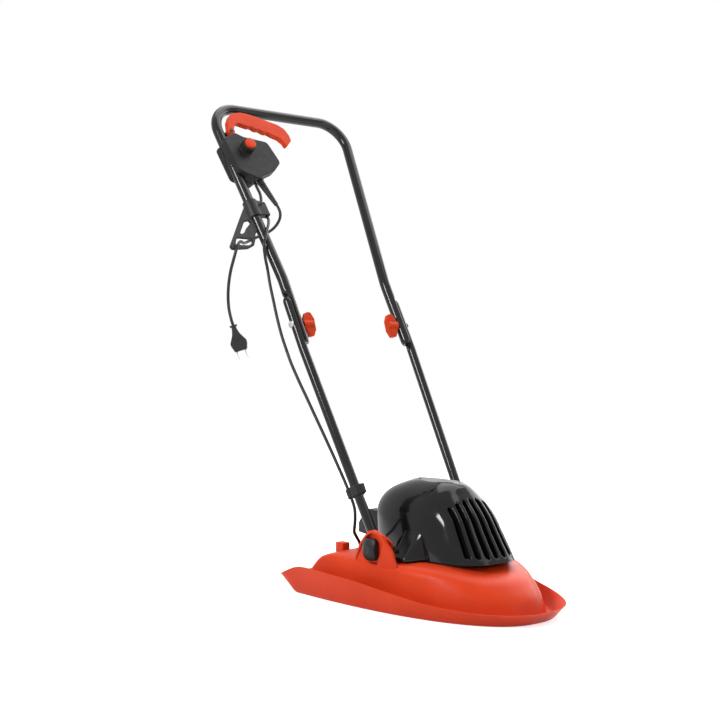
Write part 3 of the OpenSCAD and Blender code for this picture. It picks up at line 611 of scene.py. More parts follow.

# Cord routes: the listed points of the source, eased at the two tightest bends
UPPER_ROUTE = [
    (0, -133, 886), (0, -132, 868), (2, -131, 850), (5, -135, 834), (6, -139.7, 818), (6, -138, 802),
    (6, -136.4, 786), (9, -138, 773), (14, -148, 755), (17, -164, 730), (10, -174, 704), (-2, -172, 680),
    (-12, -168, 655), (-19, -169, 620), (-23, -171, 580), (-26, -173.5, 540), (-28, -175, 500),
    (-28, -175, 460.8),
]
MID_ROUTE = [
    (-28, -175, 461), (-28, -173.8, 430), (-27, -170, 390), (-25, -165, 344), (-23, -160.5, 300),
    (-21, -156.5, 260), (-18, -153, 215), (-15, -150.4, 172),
]
CLIP_CABLE = (-13, -148.01, 124)
CLIP_ROUTE = [(0, -0.9, 18), (0, -0.5, 10), (0, 0, 0), (0, 0.5, -10), (0, 0.9, -18)]
DECK_ROUTE = [
    (-119, -145.5, 187), (-122.5, -141.5, 169), (-131.5, -135, 152), (-144, -126, 137), (-154, -112, 124.5),
    (-158.3, -102, 114),
]
GROMMET_AT = (-160, -95, 94)
GROMMET_ROUTE = [(0.2, -2, 11), (0, -0.2, 3), (0, 0, -6)]
RELIEF_AT = (0, -118, 885.8)
RELIEF_DIR = (0, 0.37, -0.929)
RELIEF_RUNS = (50, 60, 72)
LEAD_ROUTE = [
    (-1, -89, 807), (-3, -91, 794), (-8, -99, 780), (-15, -113, 767), (-21, -134, 756), (-23, -160, 746),
    (-21, -184, 734), (-14, -204, 723), (-5, -216, 716.5), (4, -228, 713), (8.7, -238, 706),
    (8.5, -247.5, 693.5),
]
HANG_ROUTE = [
    (-392, -254.5, 702), (-400.5, -257, 676), (-409, -256.5, 649), (-413, -255.5, 621), (-412, -254, 594),
]
PLUG_AT = (-402, -250, 559)
PLUG_TILT = math.radians(-18)
PLUG_TURN = math.radians(50)
PLUG_AXIS = (
    math.cos(PLUG_TURN) * math.sin(-PLUG_TILT),
    math.sin(PLUG_TURN) * math.sin(-PLUG_TILT),
    -math.cos(PLUG_TILT),
)
PLUG_RUNS = (-12, -3, 4)
CORD_SIDES = 16
CORD_STEPS = 8


def along(start, direction, distance=1):
    return [a + b * distance for a, b in zip(start, direction)]


def cord_piece(name, points):
    path = curve_through(points, CORD_STEPS)
    ring = [(a * MM, b * MM) for a, b in circle(CORD_R, CORD_SIDES)]
    piece = sweep(name, path, ring)
    piece.data.shade_smooth()
    piece.data.materials.append(MATERIALS["cord"])
    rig.slot(piece, "cord")
    return piece, path


def add_supply_lead():
    start = [handle(*along(RELIEF_AT, RELIEF_DIR, d)) for d in RELIEF_RUNS]
    middle = [handle(*v) for v in LEAD_ROUTE]
    hanging = [world(*v) for v in HANG_ROUTE]
    tail = [world(*along(PLUG_AT, PLUG_AXIS, d)) for d in PLUG_RUNS]
    lead, path = cord_piece("supply_lead_cord", start + middle + hanging + tail)
    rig.ride(lead, "upper_handle")
    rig.replaces(lead, "supply_lead")
    return lead, path


def add_motor_cable():
    upper, upper_path = cord_piece("motor_cable_upper", [handle(*v) for v in UPPER_ROUTE])
    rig.blend(upper, "upper_handle", "lower_handle", start=handle(-26, -174, 545), end=handle(-28, -175, 472))
    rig.replaces(upper, "cable_upper")
    first = [handle(*v) for v in MID_ROUTE]
    held = [handle(*along(CLIP_CABLE, v)) for v in CLIP_ROUTE]
    last = [world(*v) for v in DECK_ROUTE]
    tail = [world(*along(GROMMET_AT, v)) for v in GROMMET_ROUTE]
    lower, lower_path = cord_piece("motor_cable_lower", first + held + last + tail)
    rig.blend(lower, "lower_handle", "deck", start=world(-119, -145.5, 189), end=world(-160.5, -98, 104))
    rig.replaces(lower, "cable_mid")
    for piece, path in ((upper, upper_path), (lower, lower_path)):
        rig.cord(
            piece, exit=path[0], length=length_of(path), diameter=2 * CORD_R * MM, far_end="object",
            stiffness="medium", lay="hanging", path=path,
        )


lead, lead_path = add_supply_lead()
add_motor_cable()


# Plug, a slim two-pin moulding
PLUG_PINS = ("plug_pin_a", "plug_pin_b")


def add_plug():
    body = moulded("plug_body", 0.6, 6, on_handle=False)
    adopt(body, "cord", "upper_handle", "plug_body")
    pins = [softened(node, 0.8) for node in PLUG_PINS]
    for pin, node in zip(pins, PLUG_PINS):
        adopt(pin, "steel", "upper_handle", node)
    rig.cord(
        lead, exit=lead_path[0], length=length_of(lead_path), diameter=2 * CORD_R * MM, far_end="plug",
        stiffness="medium", lay="hanging", path=lead_path, with_pieces=[body, *pins],
    )


add_plug()


# Hood: the source's sections with more steps and round edges, and a nose that falls away
HOOD_STEPS = 240
HOOD_ROWS = [
    (17, 13, 0.037), (21, 14.5, 0.16), (34, 17, 0.479), (52, 20, 0.702), (70, 24, 0.851), (100, 33, 0.947),
    (118, 60, 1.0),
]
RIM_ROWS = [
    (-400, 33), (-290, 33), (-262, 45), (-236, 58), (-212, 64), (-150, 62), (-60, 57), (20, 46), (90, 35),
    (180, 27), (300, 23),
]
NOSE_POWER = 2.416
REAR_POWER = 3.0
NOSE_SHARE = 0.091
NOSE_DIP = 18
NOSE_FROM = 70
NOSE_RUN = 121
NOSE_CURVE = 1.5
CROWN_INSETS = (15, 30, 45, 57)
ROW_STEPS = 5
RIM_EASE = (-14, -7, 0, 7, 14)
RIM_STEPS = 10
RIM_WALL = 2.6
GUTTER_STEPS = 8
GUTTER_INSET = 2
GUTTER_RISE = 3.5
# Insets and heights of the foot's edge and the gutter, insets and drops of the lip
HOOD_EDGE = [(4, 0.0), (1.2, 0.2), (0, 1.2)]
GUTTER_FLOOR = [(3, 3, 3.3), (9, 7, 2.6), (15.5, 11.5, 2.7), (16.6, 12.6, 3.0)]
LIP_EDGE = [(0.3, 1.0), (0.2, 0.4), (0.9, 0), (1.8, 0.2), (RIM_WALL, 1.0)]
# Hollow under the hood
TOP_SHARE = 0.9
SIDE_DROP = 1
INNER_LOW = 0.8
HOLLOW_FOOT = (21, 17, 6.0)
HOLLOW_LOW = 8
HOLLOW_TRIM = 0.2


def lobe(t, mid, nose, rear, half, front_power, rear_power):
    """Place at an angle on an outline with a long rounded nose and a blunter rear."""
    c = math.cos(t)
    s = math.sin(t)
    power = 2 / (front_power if c >= 0 else rear_power)
    reach = (nose - mid) if c >= 0 else (mid + rear)
    return mid + math.copysign(reach * abs(c) ** power, c), math.copysign(half * abs(s) ** power, s)


def plan(nose, rear, half, front_power, rear_power, share, steps):
    """Plan outline in millimetres, widest at a share of its length."""
    mid = -rear + (nose + rear) * share
    turns = [2 * math.pi * i / steps for i in range(steps)]
    return [lobe(t, mid, nose, rear, half, front_power, rear_power) for t in turns]


def smooth_rows(rows, steps):
    """Rows of numbers with more rows between them, on a smooth curve."""
    return [tuple(p) for p in curve_through([Vector(row) for row in rows], steps)]


def hood_plan(along_inset, side_inset):
    size = (DECK_NOSE - along_inset, DECK_REAR - along_inset, DECK_HALF - side_inset)
    return plan(*size, NOSE_POWER, REAR_POWER, NOSE_SHARE, HOOD_STEPS)


def nose_dip(x, z):
    """How far the hood's top falls away in front of the cover."""
    share = max(0, x - NOSE_FROM) / NOSE_RUN
    return NOSE_DIP * (share * z / DECK_TOP) ** NOSE_CURVE


def hood_ring(along_inset, side_inset, z):
    return [world(x, y, z - nose_dip(x, z)) for x, y in hood_plan(along_inset, side_inset)]


RIM_X, RIM_H = zip(*RIM_ROWS)


def rim_height(x):
    """Height of the rim over the ground, eased at its corners."""
    return float(np.mean([np.interp(x + d, RIM_X, RIM_H) for d in RIM_EASE]))


def rim_ring(out, drop, share=1.0):
    foot = hood_plan(0, 0)
    edge = hood_plan(-out, -out)
    return [world(e[0], e[1], rim_height(f[0]) * share - drop) for f, e in zip(foot, edge)]


def inner_rows():
    """Insets and heights of the hollow, from the foot to the top."""
    result = []
    for a, b, share in smooth_rows(HOOD_ROWS, ROW_STEPS):
        drop = HOOD_WALL if share > TOP_SHARE else SIDE_DROP
        result.append((a + HOOD_WALL, b + HOOD_WALL, share * DECK_TOP - drop))
    return result


def hood_rings():
    """Sections from the inner top, down the hollow, round the foot and rim and up the outside."""
    rows = smooth_rows(HOOD_ROWS, ROW_STEPS)
    top = rows[-1]
    inner = [hood_ring(top[0] + k, top[1] + k, DECK_TOP - HOOD_WALL) for k in reversed(CROWN_INSETS)]
    inner += [hood_ring(a, b, max(z, INNER_LOW)) for a, b, z in reversed(inner_rows())]
    foot = [hood_ring(*inner_rows()[0][:2], 0.0)]
    foot += [hood_ring(inset, inset, z) for inset, z in HOOD_EDGE]
    rim = [rim_ring(RIM_FLARE * k / RIM_STEPS, 0, share=k / RIM_STEPS) for k in range(1, RIM_STEPS)]
    lip = [rim_ring(RIM_FLARE - inset, drop) for inset, drop in LIP_EDGE]
    gutter = []
    for k in range(1, GUTTER_STEPS):
        blend = 1 - k / GUTTER_STEPS
        out = (RIM_FLARE - RIM_WALL) * blend - GUTTER_INSET * (1 - blend)
        gutter.append(rim_ring(out, -GUTTER_RISE * (1 - blend), share=blend))
    floor = [hood_ring(*row) for row in GUTTER_FLOOR]
    outer = [hood_ring(a, b, share * DECK_TOP) for a, b, share in rows]
    crown = [hood_ring(top[0] + k, top[1] + k, DECK_TOP) for k in CROWN_INSETS]
    return inner + foot + rim + lip + gutter + floor + outer + crown


def hood_hollow_rings():
    """The hollow alone, to trim what the ears leave inside."""
    result = [hood_ring(*HOLLOW_FOOT)]
    for a, b, z in inner_rows():
        if z - HOLLOW_TRIM > HOLLOW_LOW:
            result.append(hood_ring(a + HOLLOW_TRIM, b + HOLLOW_TRIM, z - HOLLOW_TRIM))
    return result


# Side views in the pivot's terms: outer ear, the sunk place round its knob, and the lower inner ear
EAR_SIDE = [
    (-58, -65), (-55, -34), (-51, -21), (-36, 5), (-25, 17), (-14, 27), (-4, 36), (8, 39), (24, 35), (34, 30),
    (41, 22), (46, 15), (63, -1), (72, -23), (76, -36), (78, -65),
]
SUNK_SIDE = [
    (-46, -21), (-31, 3), (-20, 15.5), (-10, 25), (0, 31), (9, 33), (22, 29.5), (31, 23), (38, 15), (17, -23),
    (12, -70), (-54, -70),
]
INNER_SIDE = [
    (-56, -65), (-50, -30), (-40, -8), (-28, 10), (-16, 22), (-6, 26), (6, 22.5), (20, 15.5), (26, 12),
    (27, -65),
]
EAR_ROUND = 4
SUNK_ROUND = 3
EAR_WALL = 2.6
INNER_WALL = 5
EAR_EDGE = 0.9
# Raised edge of the outer ear, measured across from the ear, and its lean
EDGE_FROM = 1.5
EDGE_TO = 9
EDGE_CUT = (-10, 20)
EDGE_ROUND = 1.2
RIM_LEAN = math.radians(6.2)
LEAN_FOOT = 27
LEAN_SLAB = ((-150, 0, -100), (150, 60, 200))
# Gusset of the outer ear, and how far its end is drawn back and in
GUSSET_FROM = 20
GUSSET_RUN = 56
GUSSET_BACK = 12
GUSSET_IN = 10
# Small block on the hood, and the hood's bores
HOOD_BLOCK = ((-218, -116, 60), (-194, -96, 106))
MOTOR_BORE = 24
GROMMET_BORE = 5.05
PIVOT_BORE = 4.05
BORE_PAST = 20

# Angle between the points of a bend
BEND_STEP = math.radians(3)


def corner(a, b, c, radius, count=None):
    """Arc that rounds off a corner, in the plane of two numbers."""
    d0 = (b - a).normalized()
    d1 = (c - b).normalized()
    turn = math.atan2(d0.x * d1.y - d0.y * d1.x, d0.dot(d1))
    start = b - d0 * radius * math.tan(abs(turn) / 2)
    hub = start + Vector((-d0.y, d0.x)) * math.copysign(radius, turn)
    count = count or max(2, round(abs(turn) / BEND_STEP))
    return [hub + Matrix.Rotation(turn * k / count, 2) @ (start - hub) for k in range(count + 1)]


def rounded(points, radius):
    """Closed outline with its corners rounded by arcs."""
    places = [Vector(p) for p in points]
    result = []
    for a, b, c in zip(places[-1:] + places, places, places[1:] + places[:1]):
        result += corner(a, b, c, radius, 5)
    return result


def plate(outline, radius, side, near, far):
    """Upright plate: a rounded side view in the pivot's terms, between two places across."""
    rings = []
    for y in sorted((side * near, side * far)):
        rings.append([world(x - PIVOT_BACK, y, z + PIVOT_Z) for x, z in rounded(outline, radius)])
    return tidy_normals(skin("plate", rings))


def box_piece(low, high):
    corners = [(low[0], low[1]), (high[0], low[1]), (high[0], high[1]), (low[0], high[1])]
    rings = [[world(x, y, z) for x, y in corners] for z in (low[2], high[2])]
    return tidy_normals(skin("box", rings))


def turn_in(piece, side):
    """Draw the front of an outer ear in, so that its gusset lands on the hood's shoulder."""
    for v in piece.data.vertices:
        share = max(0.0, (v.co.x / MM + PIVOT_BACK - GUSSET_FROM) / GUSSET_RUN)
        v.co.x -= GUSSET_BACK * share * MM
        v.co.y -= side * GUSSET_IN * share * MM
    return piece


def ear_rim(side):
    """Raised edge and gusset of the outer ear, its face leaning out towards the top."""
    rim = plate(EAR_SIDE, EAR_ROUND, side, EAR_FLOOR - EDGE_FROM, EAR_FLOOR + EDGE_TO)
    sunk = plate(SUNK_SIDE, SUNK_ROUND, side, EAR_FLOOR + EDGE_CUT[0], EAR_FLOOR + EDGE_CUT[1])
    cut_or_join(rim, sunk, "DIFFERENCE")
    slab = box_piece(*LEAN_SLAB)
    slab.data.transform(Matrix.Rotation(-RIM_LEAN, 4, "X"))
    slab.data.transform(Matrix.Translation(world(-PIVOT_BACK, EAR_OUT, PIVOT_Z - LEAN_FOOT)))
    if side < 0:
        slab.data.transform(Matrix.Scale(-1, 4, (0, 1, 0)))
        tidy_normals(slab)
    cut_or_join(rim, slab, "DIFFERENCE")
    return turn_in(with_round_edges(rim, EDGE_ROUND, 40), side)


def drill(piece, start, direction, radius, depth):
    bore = lathe("bore", start, direction, [(0, radius), (depth, radius)])
    cut_or_join(piece, tidy_normals(bore), "DIFFERENCE")


def add_hood():
    hood = tidy_normals(skin("deck_hood_shell", hood_rings()))
    for side in (-1, 1):
        outer = with_round_edges(plate(EAR_SIDE, EAR_ROUND, side, EAR_FLOOR - EAR_WALL, EAR_FLOOR), EAR_EDGE)
        cut_or_join(hood, turn_in(outer, side), "UNION")
        inner = plate(INNER_SIDE, SUNK_ROUND, side, EAR_IN, EAR_IN + INNER_WALL)
        cut_or_join(hood, with_round_edges(inner, EAR_EDGE), "UNION")
        cut_or_join(hood, ear_rim(side), "UNION")
    cut_or_join(hood, with_round_edges(box_piece(*HOOD_BLOCK), 2), "UNION")
    inside = tidy_normals(skin("inside", hood_hollow_rings()))
    cut_or_join(hood, inside, "DIFFERENCE")
    for x, y, radius in ((0, 0, MOTOR_BORE), (GROMMET_AT[0], GROMMET_AT[1], GROMMET_BORE)):
        drill(hood, world(x, y, DECK_TOP - BORE_PAST), (0, 0, 1), radius, 2 * BORE_PAST)
    reach = EAR_OUT + BORE_PAST
    drill(hood, world(-PIVOT_BACK, -reach, PIVOT_Z), (0, 1, 0), PIVOT_BORE, 2 * reach)
    smooth(hood, 32)
    adopt(hood, "hood", "deck", "deck_hood")


add_hood()


# Motor cover: a grid over the source's sections whose columns follow the louvres
COVER_ROWS = [
    (144, 161, 1.0, 0.0), (129, 169, 1.0, 0.145), (110, 175, 0.967, 0.342), (92, 176, 0.911, 0.54),
    (72, 166, 0.8, 0.704), (53, 143, 0.644, 0.836), (39, 107, 0.44, 0.934), (24, 77, 0.27, 0.98),
    (5, 51, 0.06, 1.0),
]
COVER_TABLE = np.array(smooth_rows(COVER_ROWS, 24))
COVER_FRONT_POWER = 3.0
COVER_REAR_POWER = 2.6
HALF_SLOTS = [(0, 9.3), (21.6, 9.3), (41.75, 7.7), (58.75, 6.3)]
SLOTS = [(-centre, reach) for centre, reach in reversed(HALF_SLOTS[1:])] + HALF_SLOTS
SLOT_LOW = COVER_Z + 15
SLOT_RISE = 0.63
SLOT_BOW = 0.00002
LIP = 2.4
LIP_STEPS = 4
FLANGE = 34
FLANGE_LEAST = 3.0
FLANGE_STEPS = 3
FLANGE_DRAFT = 0.15
MOTOR_ROOM = 60
MOTOR_TOP = 205
FRONT_EDGE = 76
FRONT_MOST = 0.93
FAN = 0.15
FAN_RISE = 100
SIDE_COLUMNS = 60
COVER_WALL = 1.0
CROWN_SHARE = 0.9995
CROWN_CURVE = 1.5
# Ridge along the back of the crown, and where it fades in
RIDGE_TALL = 2.2
RIDGE_HALF = 14
RIDGE_X = -45
RIDGE_Z = 190
RIDGE_RUN = 30
# Rows of the grid: below a louvre, round its ends, along it and over it
FOOT_ROWS = 3
ARC_STEPS = 4
BODY_ROWS = 26
CROWN_ROWS = 18
SIDE_LOW = FOOT_ROWS + ARC_STEPS
SIDE_HIGH = SIDE_LOW + BODY_ROWS
ARC = [math.sin(math.pi / 2 * k / ARC_STEPS) for k in range(ARC_STEPS + 1)]


def cover_section(z):
    """Front, rear and half width of the cover at a height."""
    share = (z - COVER_Z) / COVER_H
    return [float(np.interp(share, COVER_TABLE[:, 3], COVER_TABLE[:, k])) for k in range(3)]


def slot_top(column):
    reach = min(abs(column), FRONT_EDGE)
    return SLOT_LOW + COVER_H * (SLOT_RISE - SLOT_BOW * reach * reach)


def slot_reach(column):
    """Half width of the louvre nearest to a column."""
    return min(HALF_SLOTS, key=lambda slot: abs(abs(column) - slot[0]))[1]


def fan_in(z, half):
    """How much the louvres draw together towards the top."""
    rise = max(0.0, (z - SLOT_LOW) / FAN_RISE)
    return min(1 - FAN * rise, FRONT_MOST * half / FRONT_EDGE)


def cover_point(column, turn, z):
    """Place on the cover: a column across the front, or a share of the way round the side."""
    front, rear, half_share = cover_section(z)
    half = half_share * COVER_HALF
    mid = (front - rear) / 2
    fan = fan_in(z, half)
    if turn is None:
        y = column * fan
        x = mid + (front - mid) * (1 - (abs(y) / half) ** COVER_FRONT_POWER) ** (1 / COVER_FRONT_POWER)
        return Vector((x, y, z))
    start = math.asin((FRONT_EDGE * fan / half) ** (COVER_FRONT_POWER / 2))
    t = start + (math.pi - start) * abs(turn)
    x, y = lobe(t, mid, front, rear, half, COVER_FRONT_POWER, COVER_REAR_POWER)
    return Vector((x, math.copysign(y, turn), z))


def cover_columns():
    """Columns once round from the right: place across, turn round the side, number of the slot."""
    front = []
    for k, (centre, reach) in enumerate(SLOTS):
        for share in [-s for s in reversed(ARC[1:])] + ARC:
            front.append((centre + reach * share, None, k))
        if k < len(SLOTS) - 1:
            edge = centre + reach
            room = SLOTS[k + 1][0] - SLOTS[k + 1][1] - edge
            for part in (1 / 3, 2 / 3):
                front.append((edge + room * part, None, None))
    turns = [i / SIDE_COLUMNS for i in range(1, SIDE_COLUMNS)]
    turns = [None] + turns + [1.0] + [-t for t in reversed(turns)]
    return [(-FRONT_EDGE, None, None)] + front + [(FRONT_EDGE, t, None) for t in turns]


def cover_heights(column):
    """Heights of the grid's rows in one column, from the foot to the top."""
    top = slot_top(column)
    reach = slot_reach(column)
    low_end = SLOT_LOW - reach
    high_end = top + reach
    crown_tall = COVER_Z + COVER_H * CROWN_SHARE - high_end
    foot = [COVER_Z + (low_end - COVER_Z) * k / FOOT_ROWS for k in range(FOOT_ROWS)]
    low_arc = [SLOT_LOW - reach * a for a in reversed(ARC)]
    body = [SLOT_LOW + (top - SLOT_LOW) * k / BODY_ROWS for k in range(1, BODY_ROWS)]
    high_arc = [top + reach * a for a in ARC]
    shares = [1 - (1 - k / CROWN_ROWS) ** CROWN_CURVE for k in range(1, CROWN_ROWS + 1)]
    return foot + low_arc + body + high_arc + [high_end + crown_tall * share for share in shares]


def ridge(p):
    behind = min(1, max(0, (RIDGE_X - p.x) / RIDGE_RUN))
    above = min(1, max(0, (p.z - RIDGE_Z) / RIDGE_RUN))
    p.z += RIDGE_TALL * behind * max(0, 1 - abs(p.y) / RIDGE_HALF) * above
    return p


def slot_depth(i):
    """How many steps in from a slot's side the skin reaches, in a row of the grid."""
    if i < SIDE_LOW:
        return SIDE_LOW - 1 - i
    return -1 if i < SIDE_HIGH else i - SIDE_HIGH


def cover_grid():
    """Points and faces of the cover's outer skin, open at the louvres."""
    columns = cover_columns()
    count = len(columns)
    heights = [cover_heights(c[0]) for c in columns]
    rows = len(heights[0])
    points = []
    for i in range(rows):
        for j, (column, turn, number) in enumerate(columns):
            points.append(ridge(cover_point(column, turn, heights[j][i])) * MM)
    first_of = {}
    for j, (column, turn, number) in enumerate(columns):
        first_of.setdefault(number, j)
    faces = []
    for i in range(rows - 1):
        depth = slot_depth(i)
        for j in range(count):
            n = (j + 1) % count
            a = i * count + j
            b = i * count + n
            c = b + count
            d = a + count
            number = columns[j][2]
            place = j - first_of[number]
            step = min(place, 2 * ARC_STEPS - 1 - place)
            left = place < ARC_STEPS
            if number is None or columns[n][2] != number or step < depth:
                faces.append((a, b, c, d))
            elif step == depth and i < SIDE_LOW:
                faces.append((a, b, d) if left else (a, b, c))
            elif step == depth:
                faces.append((a, c, d) if left else (b, c, d))
    return points, faces


INWARD = Vector((-1, 0, -0.12)).normalized()


def flange_room(p):
    """Depth of a louvre's flange at a place: as deep as the motor behind it leaves room for."""
    motor = math.sqrt(max(0.0, MOTOR_ROOM ** 2 - (p.y / MM) ** 2)) if p.z < MOTOR_TOP * MM else 0.0
    return max(FLANGE_LEAST, min(FLANGE, p.x / MM - motor - LIP)) * MM


def slot_loops(around):
    """The edge points of each louvre, one list for each."""
    left = dict(around)
    while left:
        loop = [left.popitem()[0]]
        for v in loop:
            for e in v.link_edges:
                other = e.other_vert(v)
                if e.is_boundary and other in left:
                    left.pop(other)
                    loop.append(other)
        yield loop


def slot_centres(loop):
    """Each edge point of a louvre with the place that its lip turns towards."""
    ordered = sorted(loop, key=lambda v: v.co.z)
    reach = slot_reach(ordered[0].co.y / MM) * MM
    low = ordered[0].co.z + reach
    high = ordered[-1].co.z - reach
    for v in loop:
        level = min(max(v.co.z, low), high)
        room = (4 if level == v.co.z else 3) * MM
        near = [u.co for u in ordered if abs(u.co.z - level) < room]
        yield v, sum(near, Vector()) / len(near)


def lip_profile():
    """Steps of a louvre's edge: towards its middle, inward, and the share of the flange's depth."""
    for k in range(1, LIP_STEPS + 1):
        a = math.pi / 2 * k / LIP_STEPS
        yield LIP * math.sin(a), LIP * (1 - math.cos(a)), 0.0
    for k in range(1, FLANGE_STEPS + 1):
        yield LIP - FLANGE_DRAFT * k, LIP, k / FLANGE_STEPS


def turn_in_slots(work, foot_z, crown_z):
    """Roll each slot's edge over a round lip and back along a flange."""
    rim = [e for e in work.edges if e.is_boundary and all(foot_z < v.co.z < crown_z for v in e.verts)]
    around = dict.fromkeys(v for e in rim for v in e.verts)
    base = {v: v.co.copy() for v in around}
    towards = {}
    for loop in slot_loops(around):
        for v, centre in slot_centres(loop):
            d = centre - base[v]
            towards[v] = (d - INWARD * d.dot(INWARD)).normalized()
    edge = {v: v for v in around}
    for side, deep, share in lip_profile():
        fresh = {}
        for v in around:
            inward = deep * MM + share * flange_room(base[v])
            fresh[v] = work.verts.new(base[v] + towards[v] * side * MM + INWARD * inward)
        for e in rim:
            a, b = e.verts
            work.faces.new((edge[a], edge[b], fresh[b], fresh[a]))
        edge = fresh


def add_cover():
    cover = mesh_object("motor_cover_shell", *cover_grid())
    work = bmesh.new()
    work.from_mesh(cover.data)
    bmesh.ops.delete(work, geom=[v for v in work.verts if not v.link_faces], context="VERTS")
    bmesh.ops.recalc_face_normals(work, faces=work.faces)
    turn_in_slots(work, (COVER_Z + 1) * MM, (COVER_Z + COVER_H * 0.98) * MM)
    bmesh.ops.recalc_face_normals(work, faces=work.faces)
    work.to_mesh(cover.data)
    work.free()
    wall = cover.modifiers.new("wall", "SOLIDIFY")
    wall.thickness = COVER_WALL * MM
    wall.offset = -1
    apply_modifiers(cover)
    cut_or_join(cover, leaf_prism(BADGE_GAP), "DIFFERENCE")
    smooth(cover, 50)
    adopt(cover, "cover", "deck", "motor_cover")


# Leaf-shaped badge plate, and the solid crown that it is cut from
BADGE_X = -27.5
BADGE_HALF = 58
BADGE_WIDE = 27
BADGE_Z = (205, 265)
BADGE_GAP = 1.2
BADGE_FACE = 0.5
BADGE_BACK = 2.4
BADGE_EDGE = 0.3
LEAF_STEPS = 48
SOLID_FROM = 0.55
SOLID_STEPS = 60
SOLID_SIDES = 120


def cover_solid(inset):
    """Upper part of the cover without its louvres, drawn in by a distance."""
    rings = []
    for k in range(SOLID_STEPS + 1):
        share = SOLID_FROM + (CROWN_SHARE - SOLID_FROM) * k / SOLID_STEPS
        front, rear, half_share = cover_section(COVER_Z + share * COVER_H)
        half = max(half_share * COVER_HALF - inset, 1)
        powers = (COVER_FRONT_POWER, COVER_REAR_POWER)
        outline = plan(front - inset, rear - inset, half, *powers, 0.5, SOLID_SIDES)
        rings.append([world(x, y, COVER_Z + share * (COVER_H - inset)) for x, y in outline])
    return tidy_normals(skin("solid", rings))


def leaf_prism(grow):
    """Upright prism over the leaf-shaped badge place."""
    reach = (BADGE_HALF ** 2 / BADGE_WIDE + BADGE_WIDE) / 2
    span = math.asin(BADGE_HALF / reach)
    outline = []
    for side in (1, -1):
        for k in range(LEAF_STEPS):
            a = side * (-span + 2 * span * k / LEAF_STEPS)
            x = BADGE_X + (reach + grow) * math.sin(a)
            y = side * ((reach + grow) * math.cos(a) - reach + BADGE_WIDE)
            outline.append((x, y))
    rings = [[world(x, y, z) for x, y in outline] for z in BADGE_Z]
    return tidy_normals(skin("leaf", rings))


def add_badge():
    """Bare plate that fills the badge place and follows the crown."""
    badge = cover_solid(BADGE_FACE)
    cut_or_join(badge, leaf_prism(0), "INTERSECT")
    cut_or_join(badge, cover_solid(BADGE_BACK), "DIFFERENCE")
    smooth(with_round_edges(badge, BADGE_EDGE), 40)
    badge.name = "badge_leaf"
    adopt(badge, "plate", "deck", "badge_plate")


# Flared feet of the cover, which reach out beside the ears and fade into its sides
FOOT_X = (-31.5, 46)
FOOT_FULL = 4
FOOT_BASE = 81
FOOT_SINK = 13
FOOT_FLARE = 45
FOOT_RISE = 75
FOOT_DROP = 2.5
FOOT_ROOT = 4
FOOT_LIP = 3.5
FOOT_CURVE = 1.8
SECTION_STEPS = 16
FOOT_STEPS = 24


def foot_section(x):
    """Section of a flared foot: a hollow curve down the cover's side and out over the hood."""
    share = 1 - ease((x - FOOT_FULL) / (FOOT_X[1] - FOOT_FULL))
    base = FOOT_BASE - FOOT_SINK * (1 - share)
    flare = FOOT_FLARE * share
    result = [(base - FOOT_ROOT, 0.0), (base + flare, -FOOT_DROP * share)]
    for k in range(SECTION_STEPS + 1):
        rise = k / SECTION_STEPS
        result.append((base + flare * (1 - rise) ** FOOT_CURVE, FOOT_LIP + (FOOT_RISE - FOOT_LIP) * rise))
    return result + [(base - FOOT_ROOT, FOOT_RISE)]


def add_cover_feet():
    for name, side in (("cover_foot_right", -1), ("cover_foot_left", 1)):
        rings = []
        for k in range(FOOT_STEPS + 1):
            x = FOOT_X[0] + (FOOT_X[1] - FOOT_X[0]) * k / FOOT_STEPS
            rings.append([world(x, side * y, COVER_Z + z) for y, z in foot_section(x)])
        foot = with_round_edges(tidy_normals(skin(name, rings)), 1.5)
        adopt(smooth(foot, 40), "cover", "deck")


add_cover()
add_badge()
add_cover_feet()


# Tubes with round bends and flattened ends
TUBE_SIDES = 40
TUBE_GAP = 4
END_SHRINK = {0: 0.80, 1: 0.95}
# Lower tubes: places along the handle, bend and flat
LOW_START = 15
LOW_BEND = FOLD_S - 61
LOW_END = FOLD_S + 64
LOW_BEND_R = 150
LOW_FLAT = 4
LOW_FLAT_S = FOLD_S - 65
LOW_FLAT_RUN = 14
# Upper tube, in the same order
UP_START = FOLD_S - 47
UP_BEND = FOLD_S + 112
UP_BENDS_R = [120, 66, 66, 120]
UP_FLAT = 2.7
UP_FLAT_S = FOLD_S + 83
UP_FLAT_RUN = 16


def bent_path(points, radii):
    """Straight runs joined by arcs."""
    places = [Vector(p) for p in points]
    result = places[:1]
    for a, b, c, radius in zip(places, places[1:], places[2:], radii):
        result += corner(a, b, c, radius)
    return result + places[-1:]


def with_stops(path, gap):
    """The same path with points no further apart than the gap."""
    result = [path[0]]
    for a, b in zip(path, path[1:]):
        count = max(1, math.ceil((b - a).length / gap))
        for k in range(1, count + 1):
            result.append(a + (b - a) * k / count)
    return result


def tube(name, path, radius, flat_side):
    """Round tube; flat_side gives the side kept clear, and how flat it is, at each point."""
    stops = with_stops(path, TUBE_GAP)
    rings = []
    last = len(stops) - 1
    for i, p in enumerate(stops):
        tangent = (stops[min(i + 1, last)] - stops[max(i - 1, 0)]).normalized()
        across = Vector((tangent.y, -tangent.x))
        side, keep = flat_side(p)
        ring = []
        for a, b in circle(radius * END_SHRINK.get(min(i, last - i), 1.0), TUBE_SIDES):
            q = p + across * side * min(side * a, keep)
            ring.append(handle(b, q.x, q.y))
        rings.append(ring)
    return smooth(tidy_normals(skin(name, rings)), 40)


